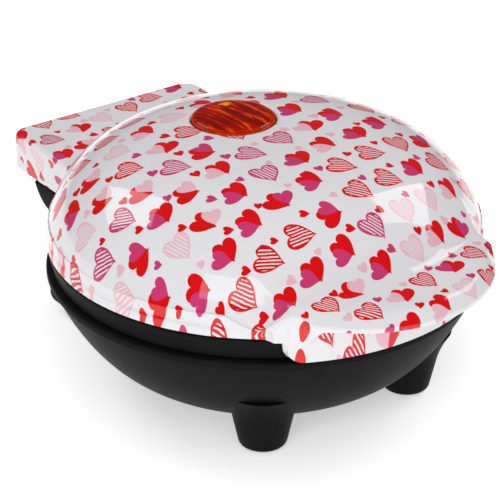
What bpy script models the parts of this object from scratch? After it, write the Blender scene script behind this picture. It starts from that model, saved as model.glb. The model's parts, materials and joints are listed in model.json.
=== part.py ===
"""Mini waffle maker with a domed lid, hinged at the rear and shown closed. Metres, +Z up, front towards -Y."""

import math

import bmesh
import bpy
import numpy as np
from mathutils import Vector

MM = 0.001

# Driving dimensions, measured from the body's own vertical axis, with heights from a level just under the
# floor that the feet stand on.
FLOOR_Z = 1.7 * MM
RIM_RADIUS = 65.0 * MM
RIM_Z = 40.0 * MM
BOWL_FLOOR_RADIUS = 19.3 * MM
BOWL_FLOOR_Z = 6.2 * MM
SHELL_WALL = 2.2 * MM

COVER_RADIUS = 64.5 * MM
COVER_EDGE_Z = 47.5 * MM
DOME_RISE = 31.7 * MM
DOME_ROUNDNESS = 3.64
DOME_SHOULDER = 1.89
DOME_WALL_TOP = 52.0 * MM
COVER_WALL = 1.7 * MM

HOUSING_HALF_WIDTH = 34.3 * MM
HOUSING_REACH = 89.0 * MM
HOUSING_TOP_Z = 57.5 * MM
HOUSING_EDGE_Z = 46.0 * MM
HOUSING_CORNER = 5.0 * MM

# The handle's face slopes out from its crest, one arc in plan, to its lip, a wider arc.
HANDLE_CENTRE_Y = -43.0 * MM
HANDLE_RADIUS = 39.0 * MM
CREST_CENTRE_Y = -43.0 * MM
CREST_RADIUS = 35.5 * MM
CREST_Z = 59.1 * MM
LIP_Z = 54.2 * MM

SKIRT_RADIUS = 66.8 * MM
SKIRT_HALF_WIDTH = 34.9 * MM
SKIRT_EDGE_Z = 41.0 * MM
SKIRT_CORNER = 4.5 * MM

LENS_Y = 15.6 * MM
LENS_RADIUS = 12.5 * MM
LENS_HOLE_RADIUS = 12.8 * MM

HINGE_Y = 64.5 * MM
HINGE_Z = 49.0 * MM
ARM_RADIUS = 10.0 * MM
ARM_INNER_X = 18.0 * MM
ARM_OUTER_X = 31.6 * MM
KNUCKLE_HALF_WIDTH = 17.0 * MM
KNUCKLE_RADIUS = 5.5 * MM
PIN_RADIUS = 2.0 * MM

TOWER_HALF_WIDTH = 34.0 * MM
TOWER_REAR_Y = 60.2 * MM
TOWER_SHELF = (66.5 * MM, 18.5 * MM)
TOWER_HEEL = (69.6 * MM, 10.6 * MM)

FOOT_X = 26.7 * MM
FOOT_Y = 35.2 * MM
FOOT_RADIUS = 6.9 * MM
FOOT_TOP_RADIUS = 11.1 * MM

PLATE_RADIUS = 55.0 * MM
CAVITY_RADIUS = 50.0 * MM
PLATE_BACK_RADIUS = 51.8 * MM
PLATE_RIM = 1.8 * MM
CAVITY_DEPTH = 7.4 * MM
PLATE_WALL = 2.8 * MM
STUD_HEIGHT = 4.9 * MM
REFLECTOR_DEPTH = 7.4 * MM
STUD_PITCH = 14.0 * MM
LOWER_PLATE_TOP_Z = 40.0 * MM
UPPER_PLATE_LOW_Z = 40.6 * MM

GAP = 0.3 * MM

# The box of the whole object is centred on the origin, and the front handle and the rear housing reach
# unequally far, so the body's axis stands a little off it.
HANDLE_REACH = HANDLE_RADIUS - HANDLE_CENTRE_Y
BODY_Y = (HANDLE_REACH - HOUSING_REACH) / 2

PARTS = "mini_waffle_maker"
CUTTERS = "cutters"


# ---------------------------------------------------------------- scene, collections and materials

def clear_scene():
    for obj in list(bpy.data.objects):
        bpy.data.objects.remove(obj, do_unlink=True)


def new_collection(name):
    collection = bpy.data.collections.new(name)
    bpy.context.scene.collection.children.link(collection)
    return collection


def principled(name, colour, roughness, metallic=0.0):
    material = bpy.data.materials.new(name)
    material.use_nodes = True
    shader = material.node_tree.nodes["Principled BSDF"]
    shader.inputs["Base Color"].default_value = (*colour, 1.0)
    shader.inputs["Roughness"].default_value = roughness
    shader.inputs["Metallic"].default_value = metallic
    return material


def add_part(obj, parent, material):
    """Puts a finished piece in the parts collection, under the empty that carries it."""
    bpy.data.collections[PARTS].objects.link(obj)
    obj.data.materials.clear()
    obj.data.materials.append(material)
    hang(obj, parent)
    return obj


def add_cutter(obj, parent):
    """Keeps a helper shape out of the finished object."""
    bpy.data.collections[CUTTERS].objects.link(obj)
    obj.hide_render = True
    obj.display_type = "WIRE"
    hang(obj, parent)
    return obj


def hang(obj, parent):
    """Parents a piece whose place is given from the body's axis, so that the empty can stand elsewhere."""
    obj.location = obj.location + Vector((0, BODY_Y, -FLOOR_Z)) - parent.location
    obj.parent = parent


def boolean(obj, other, operation):
    modifier = obj.modifiers.new(f"{operation.lower()} {other.name}", "BOOLEAN")
    modifier.operation = operation
    modifier.solver = "EXACT"
    modifier.object = other


def smooth(obj, degrees=35):
    obj.data.shade_smooth()
    obj.data.set_sharp_from_angle(angle=math.radians(degrees))


# ---------------------------------------------------------------- basic shapes

def mesh_object(name, mesh):
    return bpy.data.objects.new(name, mesh)


def from_bmesh(name, shape):
    mesh = bpy.data.meshes.new(name)
    bmesh.ops.recalc_face_normals(shape, faces=shape.faces)
    shape.to_mesh(mesh)
    shape.free()
    return mesh_object(name, mesh)


def box(name, low, high, bevel=0.0):
    """A box between two opposite corners, with its upright and level edges rounded if asked."""
    shape = bmesh.new()
    bmesh.ops.create_cube(shape, size=1.0)
    low = Vector(low)
    high = Vector(high)
    for vertex in shape.verts:
        vertex.co = Vector(c * s for c, s in zip(vertex.co, high - low))
    obj = from_bmesh(name, shape)
    obj.location = (low + high) / 2
    if bevel:
        rounding = obj.modifiers.new("round edges", "BEVEL")
        rounding.width = bevel
        rounding.segments = 2
    return obj


def cylinder(name, radius, start, end, segments=24, end_radius=None):
    """A cylinder or cone between two points on its axis."""
    start = Vector(start)
    end = Vector(end)
    shape = bmesh.new()
    bmesh.ops.create_cone(
        shape,
        cap_ends=True,
        segments=segments,
        radius1=radius,
        radius2=radius if end_radius is None else end_radius,
        depth=(end - start).length,
    )
    obj = from_bmesh(name, shape)
    obj.location = (start + end) / 2
    obj.rotation_euler = (end - start).to_track_quat("Z", "Y").to_euler()
    smooth(obj)
    return obj


def turned(name, profile, segments, closed=False):
    """A turned shape. The profile's (radius, z) points run down its outer side, top to bottom."""
    mesh = bpy.data.meshes.new(name)
    points = [(radius, 0.0, z) for radius, z in profile]
    edges = [(i, i + 1) for i in range(len(points) - 1)]
    if closed:
        edges.append((len(points) - 1, 0))
    mesh.from_pydata(points, edges, [])
    obj = mesh_object(name, mesh)
    screw = obj.modifiers.new("turn", "SCREW")
    screw.axis = "Z"
    screw.angle = math.tau
    screw.steps = segments
    screw.render_steps = segments
    screw.use_merge_vertices = True
    screw.merge_threshold = 0.00001
    screw.use_smooth_shade = False
    return obj


def side_extrusion(name, outline, low_x, high_x):
    """A (y, z) outline given a width along X, made as a filled curve and then turned into a mesh."""
    curve = bpy.data.curves.new(name, "CURVE")
    curve.dimensions = "2D"
    curve.fill_mode = "BOTH"
    curve.extrude = (high_x - low_x) / 2
    spline = curve.splines.new("POLY")
    spline.points.add(len(outline) - 1)
    for point, (y, z) in zip(spline.points, outline):
        point.co = (y, z, 0.0, 1.0)
    spline.use_cyclic_u = True
    source = bpy.data.objects.new(name, curve)
    # The curve's own X, Y and Z become world Y, Z and X.
    source.rotation_euler = (math.pi / 2, 0.0, math.pi / 2)
    source.location.x = (low_x + high_x) / 2
    return solid_from_curve(source)


def solid_from_curve(source):
    """The mesh of a curve object with its caps welded, in the curve's place."""
    name = source.name
    scene = bpy.context.scene.collection
    scene.objects.link(source)
    bpy.context.view_layer.update()
    graph = bpy.context.evaluated_depsgraph_get()
    mesh = bpy.data.meshes.new_from_object(source.evaluated_get(graph))
    place = source.matrix_world.copy()
    bpy.data.objects.remove(source, do_unlink=True)
    shape = bmesh.new()
    shape.from_mesh(mesh)
    bmesh.ops.remove_doubles(shape, verts=shape.verts, dist=0.00001)
    bmesh.ops.recalc_face_normals(shape, faces=shape.faces)
    shape.to_mesh(mesh)
    shape.free()
    mesh.name = name
    obj = mesh_object(name, mesh)
    obj.matrix_world = place
    return obj


def tube(name, points, radius, sides=2):
    """A round wire or heating tube along a smooth path."""
    curve = bpy.data.curves.new(name, "CURVE")
    curve.dimensions = "3D"
    curve.bevel_depth = radius
    curve.bevel_resolution = sides
    curve.use_fill_caps = True
    spline = curve.splines.new("POLY")
    spline.points.add(len(points) - 1)
    for point, place in zip(spline.points, points):
        point.co = (*place, 1.0)
    return bpy.data.objects.new(name, curve)


def arc(centre, radius, start, end, steps):
    """Points round an arc in a plane, with the angles in degrees."""
    angles = np.radians(np.linspace(start, end, steps + 1))
    return [(centre[0] + radius * math.cos(a), centre[1] + radius * math.sin(a)) for a in angles]


def path_through(points, steps):
    """A smooth path through a few points, each stretch a Catmull-Rom curve."""
    ends = [points[0], *points, points[-1]]
    path = []
    for before, here, there, after in zip(ends, ends[1:], ends[2:], ends[3:]):
        a, b, c, d = (Vector(p) for p in (before, here, there, after))
        for step in range(steps):
            t = step / steps
            slope = (c - a) * t + (2 * a - 5 * b + 4 * c - d) * t**2 + (3 * b - a - 3 * c + d) * t**3
            path.append(b + slope / 2)
    path.append(Vector(points[-1]))
    return path


# ---------------------------------------------------------------- lid cover

def dome_height(radius, inset):
    """Height of the domed top at a distance from the body's axis; it falls steeply past its edge."""
    share = radius / (COVER_RADIUS - inset)
    rise = DOME_RISE - inset
    if share < 1.0:
        height = COVER_EDGE_Z + rise * (1.0 - share**DOME_ROUNDNESS) ** (1.0 / DOME_SHOULDER)
        if height > DOME_WALL_TOP - inset:
            return height
    return DOME_WALL_TOP - inset - 4.0 * max(0.0, radius - upper_circle_radius() + inset)


def upper_circle_radius():
    """Radius of the dome where its rounded top meets the nearly upright wall."""
    drop = ((DOME_WALL_TOP - COVER_EDGE_Z) / DOME_RISE) ** DOME_SHOULDER
    return COVER_RADIUS * (1.0 - drop) ** (1.0 / DOME_ROUNDNESS)


def smooth_max(a, b, width):
    blend = max(width - abs(a - b), 0.0) / width
    return max(a, b) + blend * blend * width / 4.0


def smooth_step(low, high, value):
    share = min(max((value - low) / (high - low), 0.0), 1.0)
    return share * share * (3.0 - 2.0 * share)


def rounded_box_distance(x, y, half_width, reach, corner):
    """Distance outside a plan rectangle that runs from the body's axis to the rear; negative inside."""
    across = abs(x) - half_width + corner
    along = abs(y) - reach + corner
    outside = math.hypot(max(across, 0.0), max(along, 0.0))
    return outside + min(max(across, along), 0.0) - corner


def housing_distance(x, y):
    if y < 0.0:
        return math.hypot(x, y)
    return rounded_box_distance(x, y, HOUSING_HALF_WIDTH, HOUSING_REACH, HOUSING_CORNER)


def handle_distance(x, y):
    return math.hypot(x, y - HANDLE_CENTRE_Y) - HANDLE_RADIUS


def crest_distance(x, y):
    return math.hypot(x, y - CREST_CENTRE_Y) - CREST_RADIUS


def circle_distance(x, y):
    """Plan distance outside the round dome's upper outline."""
    return math.hypot(x, y) - upper_circle_radius()


def upper_distance(x, y):
    """Plan distance outside the cover's upper outline."""
    circle = math.hypot(x, y) - upper_circle_radius()
    body = -smooth_max(-circle, -housing_distance(x, y), 1.5 * MM)
    if y > 0.0:
        return body
    return -smooth_max(-body, -handle_distance(x, y), 9.0 * MM)


def lower_distance(x, y):
    """Plan distance outside the cover's lower edge, with the skirt that hangs under the handle."""
    circle = math.hypot(x, y) - COVER_RADIUS
    body = -smooth_max(-circle, -housing_distance(x, y), 1.5 * MM)
    if y > 0.0:
        return body
    skirt = max(math.hypot(x, y) - SKIRT_RADIUS, abs(x) - SKIRT_HALF_WIDTH - 3.0 * MM)
    return -smooth_max(-body, -skirt, 2.0 * MM)


def reach_of(distance, direction, inset):
    """How far the outline is from the lens's centre in a direction."""
    near = 30.0 * MM
    far = 120.0 * MM
    for _ in range(40):
        middle = (near + far) / 2
        x = direction[0] * middle
        y = LENS_Y + direction[1] * middle
        if distance(x, y) + inset < 0.0:
            near = middle
        else:
            far = middle
    return (near + far) / 2


def top_height(x, y, inset):
    """Height of the cover's top: the dome, blended into the rear housing and the front handle."""
    height = dome_height(math.hypot(x, y), inset)
    if y > 20.0 * MM:
        beside = 2.5 * max(0.0, abs(x) - HOUSING_HALF_WIDTH)
        height = smooth_max(height, HOUSING_TOP_Z - inset - beside, 1.2 * MM)
    if y < -20.0 * MM:
        height = smooth_max(height, handle_top(x, y) - inset, 9.0 * MM)
    return height


def handle_top(x, y):
    """The handle's top, which rises gently from its crest and sinks away outside the handle."""
    rise = 0.07 * max(0.0, -crest_distance(x, y))
    outside = max(0.0, handle_distance(x, y) + 2.0 * MM)
    return CREST_Z + rise - 2.0 * outside


def cover_section(angle, inset, rows):
    """One radial section of the cover, from the lens opening out and down to its lower edge."""
    direction = (math.cos(angle), math.sin(angle))

    def place(reach, height):
        return (direction[0] * reach, LENS_Y + direction[1] * reach, height)

    def top(reach):
        return top_height(direction[0] * reach, LENS_Y + direction[1] * reach, inset)

    upper = reach_of(upper_distance, direction, inset)
    lower = reach_of(lower_distance, direction, inset)
    x = direction[0] * upper
    y = LENS_Y + direction[1] * upper
    beyond = math.hypot(x, y) - upper_circle_radius() + inset
    handle = smooth_step(2.0 * MM, 9.0 * MM, beyond) if y < 0.0 else 0.0
    housing = smooth_step(0.5 * MM, 4.0 * MM, beyond) if y > 0.0 else 0.0

    # The rounded or sloping stretch from the top surface down to the wall.
    crest = min(max(upper - reach_of(crest_distance, direction, inset), 0.5 * MM), 6.0 * MM)
    run = 0.5 * MM + 1.1 * MM * housing + (crest - 0.5 * MM) * handle
    drop = 0.5 * MM + 1.1 * MM * housing + 2.6 * MM * handle
    # The first rows follow the round dome, so that they run smoothly past the handle and the housing.
    hole = LENS_HOLE_RADIUS
    inner_reach = hole + (reach_of(circle_distance, direction, inset) - hole) * INNER_SHARE
    section = [place(hole, top(hole))]
    for share in rows:
        if share <= INNER_SHARE:
            reach = hole + (inner_reach - hole) * share / INNER_SHARE
        else:
            reach = inner_reach + (upper - run - inner_reach) * (share - INNER_SHARE) / (1.0 - INNER_SHARE)
        section.append(place(reach, top(reach)))
    shoulder = section[-1][2]
    wall_top = shoulder - drop
    section.append(place(upper - (0.3 + 0.3 * handle) * run, shoulder - 0.3 * drop))
    section.append(place(upper, wall_top))

    # The wall below it, which steps in under the handle to the skirt.
    edge = COVER_EDGE_Z + (HOUSING_EDGE_Z - COVER_EDGE_Z) * housing
    if y < 0.0:
        edge += (SKIRT_EDGE_Z - COVER_EDGE_Z) * skirt_share(direction[0] * lower)
    overhang = smooth_step(0.5 * MM, 3.0 * MM, upper - lower) if y < 0.0 else 0.0
    lip = LIP_Z + 0.6 * inset
    plain = wall_top - 0.45 * (wall_top - edge)
    section.append(place(upper, plain + (lip - plain) * overhang))
    below = wall_top - 0.65 * (wall_top - edge)
    scoop = overhang * (1.0 - smooth_step(26.0 * MM, 33.0 * MM, abs(x)))
    section.append(place(lower, below + (lip - 0.8 * MM - below) * scoop))
    section.append(place(lower, edge))
    return section


def skirt_share(x):
    """How far down the skirt's edge hangs: fully in the middle, then up round its corner."""
    past = (abs(x) - SKIRT_HALF_WIDTH + SKIRT_CORNER) / SKIRT_CORNER
    if past <= 0.0:
        return 1.0
    if past >= 1.0:
        return 0.0
    depth = SKIRT_CORNER / (COVER_EDGE_Z - SKIRT_EDGE_Z)
    return 1.0 - depth * (1.0 - math.sqrt(1.0 - past * past))


COVER_ROWS = (0.25, 0.48, 0.64, 0.76, 0.86, 0.94, 1.0)
INNER_ROWS = (0.38, 0.76, 0.9, 1.0)
INNER_SHARE = 0.76
# Bearings from the lens's centre, clockwise from the front: (from, to, steps), closer where the outline turns.
COVER_STRETCHES = (
    (0, 14, 3),
    (14, 30, 9),
    (30, 46, 4),
    (46, 130, 8),
    (130, 147, 5),
    (147, 160, 7),
    (160, 180, 2),
)


def cover_bearings():
    """The directions of the cover's sections, the same on its left and right."""
    half = []
    for low, high, steps in COVER_STRETCHES:
        half += [math.radians(low + (high - low) * step / steps) for step in range(steps)]
    right = half + [math.pi]
    left = [-angle for angle in right[1:-1]]
    return [angle - math.pi / 2 for angle in right + left[::-1]]


def ring_loft(name, loops):
    """A closed solid from a ring of sections, each of them a closed loop of points."""
    shape = bmesh.new()
    rings = [[shape.verts.new(point) for point in loop] for loop in loops]
    for ring, following in zip(rings, rings[1:] + rings[:1]):
        count = len(ring)
        for i in range(count):
            j = (i + 1) % count
            shape.faces.new((ring[i], ring[j], following[j], following[i]))
    return from_bmesh(name, shape)


def make_lid_cover(lid, white):
    loops = []
    for angle in cover_bearings():
        outer = cover_section(angle, 0.0, COVER_ROWS)
        inner = cover_section(angle, COVER_WALL, INNER_ROWS)
        loops.append(outer + inner[::-1])
    cover = ring_loft("lid_cover", loops)
    add_part(cover, lid, white)
    for index, (x, y) in enumerate(lid_screw_places()):
        boss = cylinder(f"cover_boss_{index}", 2.4 * MM, (x, y, 45.0 * MM), (x, y, 58.8 * MM), 12)
        bore = cylinder(f"cover_bore_{index}", 1.3 * MM, (x, y, 44.0 * MM), (x, y, 54.5 * MM), 12)
        boolean(cover, add_cutter(boss, lid), "UNION")
        boolean(cover, add_cutter(bore, lid), "DIFFERENCE")
    smooth(cover)


def lid_screw_places():
    radius = 57.8 * MM
    return [(radius * math.cos(a), radius * math.sin(a)) for a in np.radians((35, 145, 215, 325))]


# ---------------------------------------------------------------- lid frame, lens and lamps

def make_lid_frame(lid, black):
    """The black ring under the cover: outer wall, carrying flange for the plate, and the hinge arms."""
    profile = [
        (60.5, 49.5),
        (62.3, 49.5),
        (62.4, 46.8),
        (64.4, 46.8),
        (63.1, 40.6),
        (61.3, 40.6),
        (61.4, 43.1),
        (52.3, 43.1),
        (52.3, 44.7),
        (60.5, 44.7),
    ]
    frame = turned("lid_frame", [(r * MM, z * MM) for r, z in profile], 48, closed=True)
    add_part(frame, lid, black)

    notch = box("frame_notch", (-17.6 * MM, 55.6 * MM, 38.0 * MM), (17.6 * MM, 80.0 * MM, 52.0 * MM))
    boolean(frame, add_cutter(notch, lid), "DIFFERENCE")

    arm = [(56.0 * MM, 41.2 * MM), (59.0 * MM, 40.6 * MM)]
    arm += arc((HINGE_Y, HINGE_Z), ARM_RADIUS, 236, 352, 10)
    arm += [(HINGE_Y + ARM_RADIUS, 52.0 * MM), (HINGE_Y + 6.0 * MM, 54.8 * MM), (56.0 * MM, 54.8 * MM)]
    for side, low, high in (("left", -ARM_OUTER_X, -ARM_INNER_X), ("right", ARM_INNER_X, ARM_OUTER_X)):
        solid = side_extrusion(f"arm_{side}", arm, low, high)
        boolean(frame, add_cutter(solid, lid), "UNION")

    cheek = [(54.5 * MM, 41.6 * MM)]
    cheek += arc((HINGE_Y, HINGE_Z), ARM_RADIUS + 0.4 * MM, 233, 337, 10)
    cheek += [(54.5 * MM, 45.3 * MM)]
    wide = HOUSING_HALF_WIDTH - 0.4 * MM
    for side, low, high in (("left", -wide, 1.0 * MM - ARM_OUTER_X), ("right", ARM_OUTER_X - 1.0 * MM, wide)):
        solid = side_extrusion(f"arm_cheek_{side}", cheek, low, high)
        boolean(frame, add_cutter(solid, lid), "UNION")

    tail = box("frame_tail", (-30.6 * MM, 73.0 * MM, 47.8 * MM), (30.6 * MM, 86.6 * MM, 49.4 * MM))
    boolean(frame, add_cutter(tail, lid), "UNION")
    slot = box("frame_tail_slot", (-17.6 * MM, 70.0 * MM, 47.0 * MM), (17.6 * MM, 77.0 * MM, 51.0 * MM))
    boolean(frame, add_cutter(slot, lid), "DIFFERENCE")

    for side, sign in (("left", -1), ("right", 1)):
        bore = cylinder(
            f"arm_bore_{side}",
            PIN_RADIUS + GAP,
            (sign * 10.0 * MM, HINGE_Y, HINGE_Z),
            (sign * 28.4 * MM, HINGE_Y, HINGE_Z),
        )
        boolean(frame, add_cutter(bore, lid), "DIFFERENCE")
    for index, (x, y) in enumerate(lid_screw_places()):
        hole = cylinder(f"frame_hole_{index}", 1.6 * MM, (x, y, 42.0 * MM), (x, y, 46.0 * MM), 12)
        boolean(frame, add_cutter(hole, lid), "DIFFERENCE")
    smooth(frame)


def make_lens(lid, red):
    """A clear red dome that stands in the cover's opening on a flange held against the inside."""
    seat = 78.9 * MM
    profile = [(0.0, seat + 2.2 * MM)]
    profile += [
        (LENS_RADIUS * math.sin(a), seat + 2.2 * MM * math.cos(a)) for a in np.radians((22, 44, 64, 80, 90))
    ]
    profile += [
        (LENS_RADIUS, 75.9 * MM),
        (LENS_RADIUS + 1.9 * MM, 75.9 * MM),
        (LENS_RADIUS + 1.9 * MM, 74.9 * MM),
        (LENS_RADIUS - 1.6 * MM, 74.9 * MM),
        (LENS_RADIUS - 1.6 * MM, seat - 1.0 * MM),
        (0.0, seat + 0.6 * MM),
    ]
    lens = turned("indicator_lens", profile, 32)
    lens.location = (0.0, LENS_Y, 0.0)
    smooth(add_part(lens, lid, red))


def make_lamp_parts(lid, nylon, neon):
    """Under the lens: the lamp holder on the reflector, and its two neon lamps."""
    holder = box(
        "lamp_holder",
        (-9.0 * MM, LENS_Y - 5.0 * MM, 60.2 * MM),
        (9.0 * MM, LENS_Y + 5.0 * MM, 68.0 * MM),
        0.8 * MM,
    )
    add_part(holder, lid, nylon)
    for name, sign in (("power_lamp", -1), ("ready_lamp", 1)):
        x = sign * 4.4 * MM
        bore = cylinder(f"{name}_seat", 2.6 * MM, (x, LENS_Y, 64.0 * MM), (x, LENS_Y, 70.0 * MM), 16)
        boolean(holder, add_cutter(bore, lid), "DIFFERENCE")
        profile = [(0.0, 74.0), (1.4, 73.5), (2.1, 72.2), (2.2, 70.4), (2.2, 64.4), (0.0, 64.4)]
        lamp = turned(name, [(r * MM, z * MM) for r, z in profile], 16)
        lamp.location = (x, LENS_Y, 0.0)
        smooth(add_part(lamp, lid, neon))


# ---------------------------------------------------------------- cooking plates and heating

def plate_profile(face, away):
    """Half section of a cooking plate. face is its rim's height, and away is +1 where its back is above."""
    def at(radius, depth):
        return (radius, face + away * depth)

    back = CAVITY_DEPTH + PLATE_WALL
    profile = [
        at(0.0, back),
        at(PLATE_BACK_RADIUS - 2.0 * MM, back),
        at(PLATE_BACK_RADIUS, back - 2.0 * MM),
        at(PLATE_BACK_RADIUS, PLATE_RIM),
        at(PLATE_RADIUS, PLATE_RIM),
        at(PLATE_RADIUS, 0.0),
        at(CAVITY_RADIUS + 0.8 * MM, 0.0),
        at(CAVITY_RADIUS, 0.8 * MM),
        at(CAVITY_RADIUS - 1.2 * MM, CAVITY_DEPTH),
        at(0.0, CAVITY_DEPTH),
    ]
    return profile if away > 0 else profile[::-1]


def stud_places():
    """Square studs of the waffle pattern: those of the grid that fit whole inside the cavity."""
    half = STUD_PITCH * 0.37
    places = []
    for column in range(-4, 5):
        for row in range(-4, 5):
            x = column * STUD_PITCH
            y = row * STUD_PITCH
            if math.hypot(abs(x) + half, abs(y) + half) < CAVITY_RADIUS - 0.5 * MM:
                places.append((x, y))
    return places


def make_studs(name, face, away):
    """The pattern's square studs, narrower towards their tips, as one helper shape."""
    shape = bmesh.new()
    root = face + away * (CAVITY_DEPTH + 0.6 * MM)
    tip = face + away * (CAVITY_DEPTH - STUD_HEIGHT)
    for x, y in stud_places():
        made = bmesh.ops.create_cube(shape, size=1.0)
        for vertex in made["verts"]:
            at_tip = vertex.co.z > 0
            width = STUD_PITCH * (0.5 if at_tip else 0.72)
            vertex.co.x = x + vertex.co.x * width
            vertex.co.y = y + vertex.co.y * width
            vertex.co.z = tip if at_tip else root
    return from_bmesh(name, shape)


def plate_screw_places():
    radius = 30.0 * MM
    return [(radius * math.cos(a), radius * math.sin(a)) for a in np.radians((90, 210, 330))]


def make_plate(name, face, away, parent, coating):
    plate = turned(name, plate_profile(face, away), 40)
    add_part(plate, parent, coating)
    studs = add_cutter(make_studs(f"{name}_studs", face, away), parent)
    boolean(plate, studs, "UNION")
    back = face + away * (CAVITY_DEPTH + PLATE_WALL)
    for index, (x, y) in enumerate(plate_screw_places()):
        end = back + away * 4.0 * MM
        boss = cylinder(f"{name}_boss_{index}", 3.2 * MM, (x, y, back - away * MM), (x, y, end), 10)
        bore = cylinder(f"{name}_bore_{index}", 1.5 * MM, (x, y, back), (x, y, end + away * MM), 10)
        boolean(plate, add_cutter(boss, parent), "UNION")
        boolean(plate, add_cutter(bore, parent), "DIFFERENCE")
    smooth(plate)
    return back


def make_heater(name, back, away, parent, steel):
    """The tubular heating element on a plate's back, with a gap where its two cold ends leave."""
    radius = 41.0 * MM
    tube_radius = 2.6 * MM
    height = back + away * (tube_radius + GAP)
    angles = np.radians(np.linspace(112, 428, 29))
    points = [(radius * math.cos(a), radius * math.sin(a), height) for a in angles]
    first = np.array(points[0])
    last = np.array(points[-1])
    points.insert(0, tuple(first + (0.0, 3.0 * MM, away * 1.0 * MM)))
    points.append(tuple(last + (0.0, 3.0 * MM, away * 1.0 * MM)))
    add_part(tube(name, points, tube_radius), parent, steel)


def make_reflector(name, back, away, parent, steel):
    """A thin steel dish over a plate's back and its heater, which throws the heat back."""
    sheet = away * 0.8 * MM
    flat = back + away * REFLECTOR_DEPTH
    rim = back + away * 0.6 * MM
    profile = [
        (0.0, flat + sheet),
        (45.3 * MM, flat + sheet),
        (49.5 * MM, rim + sheet),
        (51.4 * MM, rim + sheet),
        (51.4 * MM, rim),
        (48.9 * MM, rim),
        (44.9 * MM, flat),
        (0.0, flat),
    ]
    dish = turned(name, profile if away > 0 else profile[::-1], 36)
    add_part(dish, parent, steel)
    for index, (x, y) in enumerate(plate_screw_places()):
        ends = ((x, y, flat - 2.0 * MM), (x, y, flat + 2.0 * MM))
        hole = cylinder(f"{name}_hole_{index}", 1.8 * MM, *ends, 10)
        boolean(dish, add_cutter(hole, parent), "DIFFERENCE")
    smooth(dish)


def make_screw(name, place, head_z, tip_z, head_radius, parent, steel):
    """A pan-head screw. head_z is the outer face of its head, and its tip is above it or below."""
    way = 1.0 if tip_z > head_z else -1.0
    shank = 1.2 * MM
    head = 1.6 * MM
    profile = [
        (0.0, tip_z),
        (shank, tip_z - way * 1.4 * MM),
        (shank, head_z + way * head),
        (head_radius, head_z + way * head),
        (head_radius, head_z + way * 0.6 * MM),
        (head_radius * 0.6, head_z),
        (0.0, head_z),
    ]
    screw = turned(name, profile if way > 0 else profile[::-1], 10)
    screw.location = (place[0], place[1], 0.0)
    add_part(screw, parent, steel)
    reach = head_radius * 0.7
    slot = box(f"{name}_slot", (-reach, -0.4 * MM, -0.6 * MM), (reach, 0.4 * MM, 0.6 * MM))
    slot.location = (place[0], place[1], head_z)
    slot.rotation_euler = (0.0, 0.0, math.radians(30))
    boolean(screw, add_cutter(slot, parent), "DIFFERENCE")
    smooth(screw)


# ---------------------------------------------------------------- base

def bowl_profile(inset, steps):
    """(radius, z) of the bowl from its rim down to the edge of its floor, moved inwards by inset."""
    profile = []
    for share in np.linspace(1.0, 0.0, steps + 1):
        quarter = share * math.pi / 2
        radius = BOWL_FLOOR_RADIUS + (RIM_RADIUS - BOWL_FLOOR_RADIUS) * math.sin(quarter) ** (2 / 3.06)
        z = BOWL_FLOOR_Z + (RIM_Z - BOWL_FLOOR_Z) * (1.0 - math.cos(quarter) ** (2 / 1.09))
        scale = (radius - inset) / radius
        lift = inset * (1.0 - (z - BOWL_FLOOR_Z) / (RIM_Z - BOWL_FLOOR_Z))
        profile.append((radius * scale, z + lift))
    return profile


def tower_outline():
    """(y, z) outline of the rear block that carries the hinge and the cord's way out."""
    outline = [(37.0 * MM, RIM_Z - 0.3 * MM), (TOWER_REAR_Y, RIM_Z - 0.3 * MM), (TOWER_REAR_Y, 23.6 * MM)]
    outline += [TOWER_SHELF, TOWER_HEEL]
    outline += arc((TOWER_HEEL[0] - 3.0 * MM, 8.6 * MM), 3.2 * MM, 20, -90, 5)
    outline += [(50.0 * MM, 5.4 * MM), (37.0 * MM, 9.0 * MM)]
    return outline


def gland_axis():
    """Middle and direction of the cord's way out, square to the rear block's steep lower face."""
    low = Vector((0.0, *TOWER_HEEL))
    high = Vector((0.0, *TOWER_SHELF))
    slope = (high - low).normalized()
    outward = Vector((0.0, slope.z, -slope.y))
    return (low + high) / 2, outward


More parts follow.
